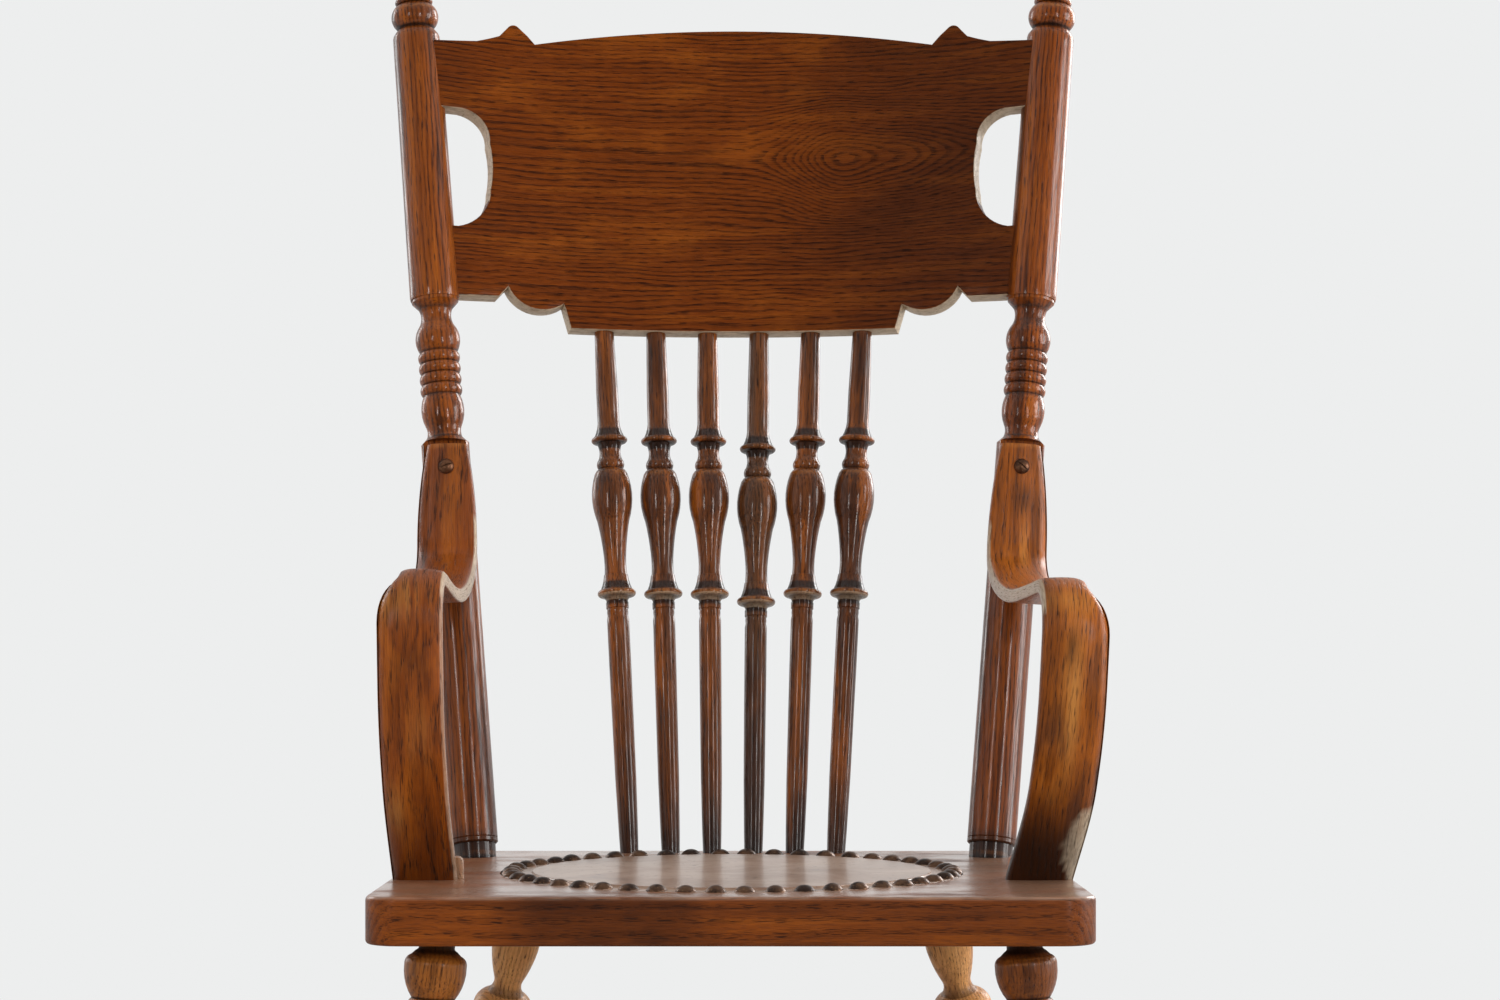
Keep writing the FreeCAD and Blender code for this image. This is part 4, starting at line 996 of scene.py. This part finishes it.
# The bent strips, each shaped straight and then led along its line
def armCurve(name):
    plane, corners, postWay, heel = armLines[name]
    own = arm[name]
    radii = [arm["kneeRadius"], arm["crestRadius"]]
    knots = [(corners[0], None)]
    for before, corner, after, radius in zip(corners, corners[1:], corners[2:], radii):
        arriving = (corner - before).normalized()
        leaving = (after - corner).normalized()
        half = arriving.angle(leaving) / 2
        tangent = radius * math.tan(half)
        inward = (leaving - arriving).normalized()
        middle = corner + inward * (radius / math.cos(half) - radius)
        handle = radius * math.tan(half / 4) * 4 / 3
        chord = (arriving + leaving).normalized()
        knots.append((corner - arriving * tangent, (arriving, 0, handle)))
        knots.append((middle, (chord, handle, handle)))
        knots.append((corner + leaving * tangent, (leaving, handle, 0)))
    last, leave = knots[-1]
    leaveHandle, sagHandle = arm["handles"]
    knots[-1] = (last, (leave[0], leave[1], leaveHandle))
    sag = corners[2].lerp(corners[3], own["sagShare"]) - Vector((0, 0, own["sag"]))
    knots.append((sag, ((corners[3] - corners[2]).normalized(), sagHandle,
                        (corners[3] - sag).length / 2)))
    knots.append((corners[3] + postWay * own["rise"], (postWay, own["rise"] / 2, 0)))
    knots.append((corners[-1], None))
    line = bpy.data.curves.new(f"{name}ArmLine", "CURVE")
    line.dimensions = "2D"
    line.resolution_u = 24
    spline = line.splines.new("BEZIER")
    spline.bezier_points.add(len(knots) - 1)

    def flat(point):
        return Vector((point.y, point.z, 0))

    for number, (knot, handles) in enumerate(knots):
        point = spline.bezier_points[number]
        point.co = flat(knot)
        point.handle_left_type = point.handle_right_type = "FREE"
        near = knots[max(number - 1, 0)][0]
        far = knots[min(number + 1, len(knots) - 1)][0]
        way, before, after = handles or (Vector(), 0, 0)
        left = knot - way * before if before else knot + (near - knot) / 3
        right = knot + way * after if after else knot + (far - knot) / 3
        point.handle_left = flat(left)
        point.handle_right = flat(right)
    guide = bpy.data.objects.new(f"{name}ArmLine", line)
    bpy.context.collection.objects.link(guide)
    bpy.context.view_layer.update()
    length = sum(part.calc_length() for part in line.splines)
    return guide, length


def makeArm(name):
    side = sides[name]
    plane, corners, postWay, heel = armLines[name]
    guide, length = armCurve(name)
    half = arm["width"] / 2
    piece = blockTool((0, -arm["thickness"], -half), (length, 0, half), Matrix())
    piece.name = f"{name}Arm"
    for y, z, radius, segments in (
        (0, half * side, arm["outerArris"], 7),
        (0, -half * side, arm["innerArris"], 5),
        (-arm["thickness"], half, arm["backArris"], 4),
        (-arm["thickness"], -half, arm["backArris"], 4),
    ):
        onFace, onSide = rimAt(piece, 1, y), rimAt(piece, 2, z)
        softenRim(piece, radius, segments, lambda edge: onFace(edge) and onSide(edge))

    def runsLong(edge):
        first, last = edgeEnds(piece, edge)
        return abs(first.x - last.x) > length / 2
    pick(piece, "edges", runsLong)
    bpy.ops.mesh.subdivide(number_cuts=int(length / arm["strip"]))
    leaveEdit()
    sliceAcross(piece, (0, 0, 1), [number * arm["strip"] for number in range(-4, 5)])
    run = (corners[-1] - corners[-2]).length
    arriving = (corners[-2] - corners[-3]).normalized()
    straight = run - arm["bendRadius"] * math.tan(arriving.angle(postWay) / 2)
    taper = straight * arm["taperShare"]
    narrowing = (arm["width"] - arm["tipWidth"]) / 2
    radius = (taper ** 2 + narrowing ** 2) / (2 * narrowing)
    own = arm[name]
    heelEnd = arm["sink"]
    crest = length - run - (corners[3] - corners[2]).length + arm["crestRadius"] * 0.5
    bend = length - run + own["rise"]
    lead, reach = arm["shoulderReach"]
    before, after = arm["rollReach"]
    early, late = arm["bellyFall"]
    for vertex in piece.data.vertices:
        spot = vertex.co
        outward = spot.z * side / half
        into = spot.x - (length - taper)
        if into > 0:  # the tip narrows in an arc on both sides
            spot.z *= (half - radius + math.sqrt(radius ** 2 - into ** 2)) / half
        if outward > 0:  # rounded shoulder on the outer side of the crest
            share = min(1, max(0, (spot.x - crest + lead) / reach))
            shoulder = share ** 2 * ease(spot.x, bend, crest + lead)
            spot.z -= side * outward * shoulder * arm["shoulder"]
        if spot.y > -arm["thickness"] / 2:  # crowned face, more so where it rolls over
            roll = ease(spot.x, crest - before, crest) * ease(spot.x, bend, crest + after)
            roll *= arm["rollCrown"] * max(0, outward)
            spot.y -= arm["crown"] * outward ** 2 * (1 + roll)
        belly = ease(spot.x, *arm["bellyRise"]) * ease(spot.x, bend - early, crest - late)
        spot.z *= 1 + (own["spread"] - 1) * ease(spot.x, bend, crest)
        spot.z += side * belly * own["belly"]
    tidy(piece)
    markGrain(piece, (1, 2, 0), (0.01, 0.02 * side, 0.7 * side))
    markWear(piece)

    def fadedAndLit(spot, normal):  # painted highlight on the inner edge round the bend, and on a worn facet at the right foot's outer edge
        inner = side * normal.z < -0.6 and spot.x < bend + 0.02
        inner *= 1 if spot.x > crest else own["riserLit"]
        wide, start, widest, end = arm["facet"]
        facet = wide * ease(spot.x, heelEnd + start, heelEnd + widest)
        facet *= ease(spot.x, heelEnd + end, heelEnd + widest)
        worn = ease(spot.z, half - facet - 0.001, half - facet + 0.001) * arm["facetLit"]
        onFacet = side > 0 and facet > 0 and normal.y > 0
        return arm["innerLit"] * inner or (worn if onFacet else 0)
    markBareAndLit(piece, fadedAndLit)
    # pale spots are worn patches with painted highlights; dark spots are grime with painted shade
    # along the edges
    for kind in ("fadeAndLit", "sootAndShade"):
        rows = [(along % length, across * side, *rest) for along, across, *rest in own[kind]]
        markSpots(piece, kind, rows)
    modify(piece, "CURVE", object=guide, deform_axis="POS_X")
    bpy.data.objects.remove(guide)
    place(piece, plane @ framed((0, 1, 0), (0, 0, 1), (1, 0, 0)))
    tidy(piece)
    finishPiece(piece, armOaks[name], "dark_oak", f"arm_{name}")


for name in sides:
    makeArm(name)
print("arms bent")


# Seat: a plank with rounded corners, opened under its round panel
seat = {
    "frontWidth": 0.520,
    "backWidth": 0.490,
    "depth": 0.416,
    "thickness": 0.035,
    "frontCorner": 0.025,
    "backCorner": 0.030,
    "topArris": 0.004,
    "underArris": 0.003,
    "panelSetback": 0.210,
    "rabbet": 0.3494,
    "rabbetDepth": 0.0035,
    "opening": 0.290,
}
panelFrame = seatFrame @ movedBy(0, seat["panelSetback"], 0)


def discTool(diameter, low, high, matrix, vertices=128):
    bpy.ops.mesh.primitive_cylinder_add(vertices=vertices, radius=diameter / 2, depth=high - low,
                                        location=(0, 0, (low + high) / 2))
    tool = bpy.context.object
    place(tool, matrix @ tool.matrix_world)
    return tool


def makeSeat():
    front, back = seat["frontWidth"] / 2, seat["backWidth"] / 2
    depth, near, far = seat["depth"], seat["frontCorner"], seat["backCorner"]
    nearMiddle, farMiddle = near * arcMiddle, far * arcMiddle
    rows = [
        (front - near, 0),
        (front - nearMiddle, nearMiddle, front, near),
        (back, depth - far),
        (back - farMiddle, depth - farMiddle, back - far, depth),
        (far - back, depth),
        (farMiddle - back, depth - farMiddle, -back, depth - far),
        (-front, near),
        (nearMiddle - front, nearMiddle, near - front, 0),
    ]
    outline = traced((near - front, 0), rows, 0.02)[1:]
    piece = cutOut(outline, seat["thickness"])
    piece.name = "seatBoard"
    place(piece, movedBy(0, 0, -seat["thickness"] / 2) @ turnedBy(-90, "X"))
    softenRim(piece, seat["topArris"], 5, rimAt(piece, 2, 0))
    softenRim(piece, seat["underArris"], 4, rimAt(piece, 2, -seat["thickness"]))
    sliceAcross(piece, (1, 0, 0), [x / 100 for x in range(-24, 25, 3)])
    sliceAcross(piece, (0, 1, 0), [y / 100 for y in range(2, 41, 3)])
    middle = movedBy(0, seat["panelSetback"], 0)
    cutAway(piece, discTool(seat["rabbet"], -seat["rabbetDepth"], 0.02, middle))
    cutAway(piece, discTool(seat["opening"], -0.06, 0.01, middle))
    tidy(piece)
    markGrain(piece, (2, 1, 0), (0.02, 0.1, 0.3))
    markWear(piece)
    place(piece, seatFrame)
    finishPiece(piece, seatOak, "dark_oak", "seat_board")


makeSeat()
print("seat cut")


# Round panel of pressed board, with a raised field
panel = {
    "diameter": 0.347,
    "thickness": 0.0035,
    "field": 0.300,
    "rise": 0.0015,
    "arris": 0.0009,
}
panelBoard = {
    "face": tone(146, 112, 88),
    "worn": tone(172, 144, 124),
    "dark": tone(96, 62, 42),
    "fleck": tone(70, 42, 26),
    "rough": 0.4,
    "coat": 0.45,
}


def pressedBoard():
    look = panelBoard
    finish = Finish("pressedBoard")
    spot = finish.spot()
    cloud = finish.noise(spot, 14, 4, 0.6, 0.5)
    fibre = finish.noise(finish.stretch(spot, (0.5, 1, 1)), 420, 2)
    flecks = finish.noise(spot, 190, 3)
    colour = finish.mix(cloud.between(0.42, 0.62), look["face"], look["worn"])
    colour = finish.mix(cloud.between(0.42, 0.3) * 0.8, colour, look["dark"])
    colour = finish.mix(flecks.between(0.6, 0.72) * 0.6, colour, look["fleck"])
    height = fibre * 0.4 + flecks * 0.5 + cloud
    return finish.done({"Base Color": colour, "Roughness": cloud * 0.25 + (look["rough"] - 0.1),
                        "Normal": finish.bump(height, 0.0003, 0.5),
                        "Coat Weight": look["coat"], "Coat Roughness": 0.2})


def makePanel():
    half, field = panel["diameter"] / 2, panel["field"] / 2
    arris, rise = panel["arris"], panel["rise"]
    low = -panel["thickness"]
    rows = [
        (half, low),
        (half, -arris),
        (half - arris * 0.3, -arris * 0.3, half - arris, 0),
        (field + rise, 0),
        (field + rise * 0.3, rise * 0.3, field, rise),
        (0, rise),
    ]
    piece = turned("seatPanel", traced((0, low), rows, 0.01), 128)
    place(piece, panelFrame)
    finishPiece(piece, pressedBoard(), "pressed_board", "seat_panel", angle=30)


makePanel()


# Domed nails round the panel, no two quite alike
nails = {
    "count": 48,
    "circle": 0.333,
    "head": 0.016,
    "rise": 0.005,
    "sunk": 0.0005,
}
nailMetal = {
    "face": tone(88, 62, 44),
    "dark": tone(44, 28, 20),
    "bright": tone(150, 116, 80),
    "metallic": 0.75,
    "rough": 0.34,
}


def darkMetal(name, look):
    finish = Finish(name)
    spot = finish.spot()
    cloud = finish.noise(spot, 60, 4, 0.6)
    grit = finish.noise(spot, 900, 3)
    colour = finish.mix(cloud.between(0.42, 0.6), look["face"], look["dark"])
    colour = finish.mix(grit.between(0.6, 0.72) * 0.6, colour, look["bright"])
    return finish.done({"Base Color": colour, "Metallic": look["metallic"],
                        "Roughness": cloud * 0.3 + (look["rough"] - 0.12),
                        "Normal": finish.bump(grit + cloud * 2, 0.0002, 0.6)})


def makeNails():
    half, rise = nails["head"] / 2, nails["rise"]
    rows = [(half, -nails["sunk"]), (half, 0), (half * 0.72, rise * 0.6, 0, rise)]
    blank = turned("nailBlank", traced((0, -nails["sunk"]), rows, 0.004), 20)
    copies = []
    for number in range(nails["count"]):
        copy = copyOf(blank, f"nail{number}")
        uneven = math.sin(number * 12.9898) * 43758.5453 % 1  # two scattered shares of 1
        spare = math.sin(number * 78.233) * 12543.137 % 1
        around = turnedBy(360 * (number + 0.5) / nails["count"] + (uneven - 0.5) * 0.5, "Z")
        out = movedBy(0, nails["circle"] / 2 + (spare - 0.5) * 0.001, 0)
        lean = turnedBy((uneven - 0.5) * 10, "X") @ turnedBy((spare - 0.5) * 10, "Y")
        width = 0.95 + 0.05 * uneven
        shape = Matrix.Diagonal((width, width, 0.86 + 0.13 * spare, 1))
        place(copy, panelFrame @ around @ out @ lean @ shape)
        copies.append(copy)
    bpy.data.objects.remove(blank)
    finishPiece(joined("nailHeads", copies), darkMetal("nailBronze", nailMetal), "nail_brass",
                "seat_nails", angle=60)


makeNails()
print("panel nailed down")


# Slotted screws through the arms' tips, and the small blocks behind their feet
screw = {
    "head": 0.0126,
    "rise": 0.0042,
    "rim": 0.0004,
    "sunk": 0.002,
    "slotWidth": 0.0014,
    "slotDepth": 0.0016,
    "drop": 0.019,
}
screwMetal = {
    "face": tone(104, 68, 46),
    "dark": tone(56, 34, 22),
    "bright": tone(170, 130, 98),
    "metallic": 0.8,
    "rough": 0.36,
}
heel = {
    "height": 0.016,
    "depth": 0.013,
    "round": 0.006,
    "inset": 0.004,
    "overhang": {"left": 0.003, "right": -0.004},
    "bareAndLit": {"left": 0.4, "right": 0},
    "arris": 0.0012,
    "shoulder": 0.0046,
}


def makeScrews():
    half, rise, sunk = screw["head"] / 2, screw["rise"], screw["sunk"]
    rows = [(half, -sunk), (half, screw["rim"]), (half * 0.74, rise * 0.68, 0, rise)]
    profile = traced((0, -sunk), rows, 0.002)
    wide = screw["slotWidth"] / 2
    low, high = (-0.02, -wide, rise - screw["slotDepth"]), (0.02, wide, 0.01)
    pieces = []
    for name in sides:
        piece = turned("armScrew", profile, 40)
        cutAway(piece, blockTool(low, high, turnedBy(arm[name]["slot"], "Z")))
        tidy(piece)
        place(piece, tipFrame(name) @ movedBy(0, 0, -screw["drop"]) @ turnedBy(90, "X"))
        pieces.append(piece)
    finishPiece(joined("armScrews", pieces), darkMetal("screwSteel", screwMetal), "screw_steel",
                "arm_post_screws")


def makeHeel(name):
    side = sides[name]
    plane, corners, postWay, foot = armLines[name]
    rise = (corners[1] - foot).normalized()
    low = foot + rightOf(rise) * arm["thickness"]
    slope = rise.y / rise.z
    base = low.y - slope * low.z
    rear, height, radius = base + heel["depth"], heel["height"], heel["round"]
    cut = radius * arcMiddle
    sunk = -arm["sink"]
    start = (base + slope * sunk, sunk)
    rows = [
        (rear, sunk),
        (rear, height - radius),
        (rear - cut, height - cut, rear - radius, height),
        (base + slope * height, height),
        start,
    ]
    inner = arm["width"] / 2 + heel["overhang"][name]
    outer = arm["width"] / 2 - heel["inset"]
    piece = cutOut(traced(start, rows, 0.02)[1:], inner + outer)
    piece.name = f"{name}Heel"
    end = side * (inner + outer) / 2
    softenRim(piece, heel["arris"], 3, rimAt(piece, 1, -end))
    softenRim(piece, heel["shoulder"], 6, rimAt(piece, 1, end))
    tidy(piece)
    markGrain(piece, (1, 2, 0), (0.3, 0.1 * side, 0.7 * side))
    markWear(piece)
    # painted light: the left block is painted pale as if lit from the right
    markBareAndLit(piece, lambda spot, normal: heel["bareAndLit"][name])
    middle = plane @ movedBy(side * (outer - inner) / 2, 0, 0)
    place(piece, middle @ framed((0, 1, 0), (-1, 0, 0), (0, 0, 1)))
    finishPiece(piece, armOaks[name], "dark_oak", f"arm_block_{name}")


makeScrews()
for name in sides:
    makeHeel(name)
print("arms fastened")


# Rockers: long arcs with rounded noses
rocker = {
    "spacing": 0.232,
    "radius": 1.050,
    "depth": 0.040,
    "thickness": 0.030,
    "sweep": 21.9,
    "arris": 0.002,
}


def rockerPoint(radius, degrees):
    angle = math.radians(degrees)
    return radius * math.sin(angle), rocker["radius"] - radius * math.cos(angle)


def makeRockers():
    under = rocker["radius"]
    top = under - rocker["depth"]
    middle, half = (under + top) / 2, rocker["depth"] / 2
    rear = rocker["sweep"]
    nose = math.degrees(math.atan2(half, middle))
    tip = math.hypot(half, middle)
    rows = [
        rockerPoint(under, 0) + rockerPoint(under, rear),
        rockerPoint(tip, rear + nose) + rockerPoint(top, rear),
        rockerPoint(top, 0) + rockerPoint(top, -rear),
        rockerPoint(tip, -rear - nose) + rockerPoint(under, -rear),
    ]
    blank = cutOut(traced(rockerPoint(under, -rear), rows, 0.012)[1:], rocker["thickness"])
    softenFaces(blank, rocker["thickness"], rocker["arris"], 4)
    tidy(blank)
    for name, side in sides.items():
        piece = copyOf(blank, f"{name}Rocker")
        markGrain(piece, (1, 2, 0), (0.07, 0.12 * side, 0.5 * side))
        markWear(piece)
        place(piece, movedBy(side * rocker["spacing"], 0, 0) @ turnedBy(90, "Z"))
        finishPiece(piece, legOak, "dark_oak", f"rocker_{name}")
    bpy.data.objects.remove(blank)


makeRockers()


# Legs and stretchers: turned, with their shares of the way from rocker to seat
leg = {
    "boss": 0.037,
    "sink": 0.006,
    "front": {"topSpacing": 0.2105, "topSetback": 0.050, "footSetback": 0.018, "bulb": 0.045},
    "rear": {"topSpacing": 0.163, "topSetback": 0.320, "footSetback": 0.398, "bulb": 0.046},
}
stretcher = {
    "front": 0.027,
    "side": 0.023,
    "tenon": 0.014,
    "shoulder": 0.004,
    "sink": 0.003,
    "frontLevels": {"Upper": 0.7029, "Lower": 0.427},  # shares of the legs' lengths
    "sideLevels": {"Upper": (0.6109, 0.5133), "Lower": (0.3219, 0.2566)},
    "rearLevel": 0.4024,
}
legFootShares = [(0.91, 0.892), (0.93, 0.84), (0.965, 0.96, 1, 0.84)]
legBossShares = [(0.03, 0.95), (0.05, 1), (0.95, 1), (0.97, 0.95), (1, 0.84)]
legVaseShares = {
    "front": [
        (0.217, 0.905, 0.565, 1),
        (0.687, 0.933, 0.739, 0.8),
        (0.809, 0.667),
        (0.83, 0.61, 0.85, 0.578),
    ],
    "rear": [
        (0.09, 0.8, 0.2, 1),
        (0.3, 0.92, 0.34, 0.7),
        (0.39, 0.5, 0.46, 0.515),
        (0.58, 0.7, 0.69, 0.8),
        (1, 0.87),
    ],
}
legLengthShares = {"front": (0.2168, 0.5715, 0.0723), "rear": (0.1925, 0.4054, 0.0642)}
frontStretcherShares = [
    (0.02, 0.6),
    (0.13, 0.86, 0.27, 0.8),
    *rings(0.27, 0.36, 2, 0.8, 1),
    (0.5, 1.05, 0.64, 0.8),
    *rings(0.64, 0.73, 2, 0.8, 1),
    (0.87, 0.86, 0.98, 0.6),
]
plainStretcherShares = [(0.02, 0.68), (0.5, 1, 0.98, 0.68)]
legLines = {}


def makeLegs():
    for end, share in legLengthShares.items():
        own = leg[end]
        y = own["footSetback"] + chair["seatFront"]
        z = rocker["radius"] - math.sqrt((rocker["radius"] - rocker["depth"]) ** 2 - y ** 2)
        for number, (name, side) in enumerate(sides.items()):
            foot = Vector((side * rocker["spacing"], y, z))
            top = seatFrame @ Vector((side * own["topSpacing"], own["topSetback"],
                                      -seat["thickness"]))
            length = (top - foot).length
            footLength, bossLength, ringsLength = [length * part for part in share]
            rest = length * (1 - sum(share))
            sections = [
                (leg["sink"], leg["boss"], [(0, 0.676), (1, 0.676)]),
                (footLength, leg["boss"], legFootShares),
                (bossLength, leg["boss"], legBossShares),
                (ringsLength, leg["boss"], rings(0, 1, 3, 0.84, 0.97)),
                (rest, own["bulb"], legVaseShares[end]),
                (leg["sink"], own["bulb"], [(1, legVaseShares[end][-1][-1])]),
            ]
            piece, profile = turnedPiece(f"{name}{end.title()}Leg", -leg["sink"], sections, 56)
            markGrain(piece, (0, 1, 2), (0.015 * number, 0.02, 2.1 * number + y))
            markTurning(piece, profile)
            legLines[end, name] = foot, top
            place(piece, frameAlong(foot, top))
            material = litAndShadedLegOaks[name] if end == "front" else rearLegOak
            finishPiece(piece, material, "dark_oak", f"{end}_leg_{name}")


def makeStretcher(name, first, firstShare, second, secondShare, diameter, shares, node):
    start, end = [foot.lerp(top, share) for (foot, top), share in
                  ((legLines[first], firstShare), (legLines[second], secondShare))]
    inset = leg["boss"] / 2 - stretcher["sink"]
    plain = stretcher["shoulder"] + stretcher["sink"]
    tenon = (plain, stretcher["tenon"], [(0, 1), (1, 1)])
    middle = ((end - start).length - (inset + plain) * 2, diameter, shares)
    piece, profile = turnedPiece(name, inset, [tenon, middle, tenon], 40)
    markGrain(piece, (0, 1, 2), (0.01, 0.02, start.x + start.z * 3))
    markTurning(piece, profile)
    place(piece, frameAlong(start, end))
    finishPiece(piece, legOak, "dark_oak", node)


makeLegs()
for level, share in stretcher["frontLevels"].items():
    makeStretcher(f"frontStretcher{level}", ("front", "left"), share, ("front", "right"), share,
                  stretcher["front"], frontStretcherShares, f"front_stretcher_{level.lower()}")
for level, (near, far) in stretcher["sideLevels"].items():
    for name in sides:
        makeStretcher(f"{name}Stretcher{level}", ("front", name), near, ("rear", name), far,
                      stretcher["side"], plainStretcherShares,
                      f"side_stretcher_{name}_{level.lower()}")
share = stretcher["rearLevel"]
makeStretcher("rearStretcher", ("rear", "left"), share, ("rear", "right"), share,
              stretcher["side"], plainStretcherShares, "rear_stretcher")
print("legs, stretchers and rockers made")


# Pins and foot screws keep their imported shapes
kept = {
    "headboard_pins": tone(92, 52, 24),
    "rocker_pins": tone(110, 68, 36),
}
pinStreak = tone(48, 24, 10)


def pinWood(name, colour):
    finish = Finish(name)
    streak = finish.noise(finish.stretch(finish.spot(), (1, 0.2, 1)), 900, 3)
    mixed = finish.mix(streak.between(0.4, 0.7) * 0.6, colour, pinStreak)
    return finish.done({"Base Color": mixed, "Roughness": streak * 0.2 + 0.35,
                        "Normal": finish.bump(streak, 0.0002, 0.5)})


def dress(node, material):
    piece = bpy.context.scene.objects[node]
    if not piece.data.materials:
        piece.data.materials.append(material)
    for slot in piece.material_slots:
        slot.material = material


for node, colour in kept.items():
    dress(node, pinWood(node + "_wood", colour))
dress("arm_foot_screws", darkMetal("footScrewSteel", screwMetal))
print("pins dressed")
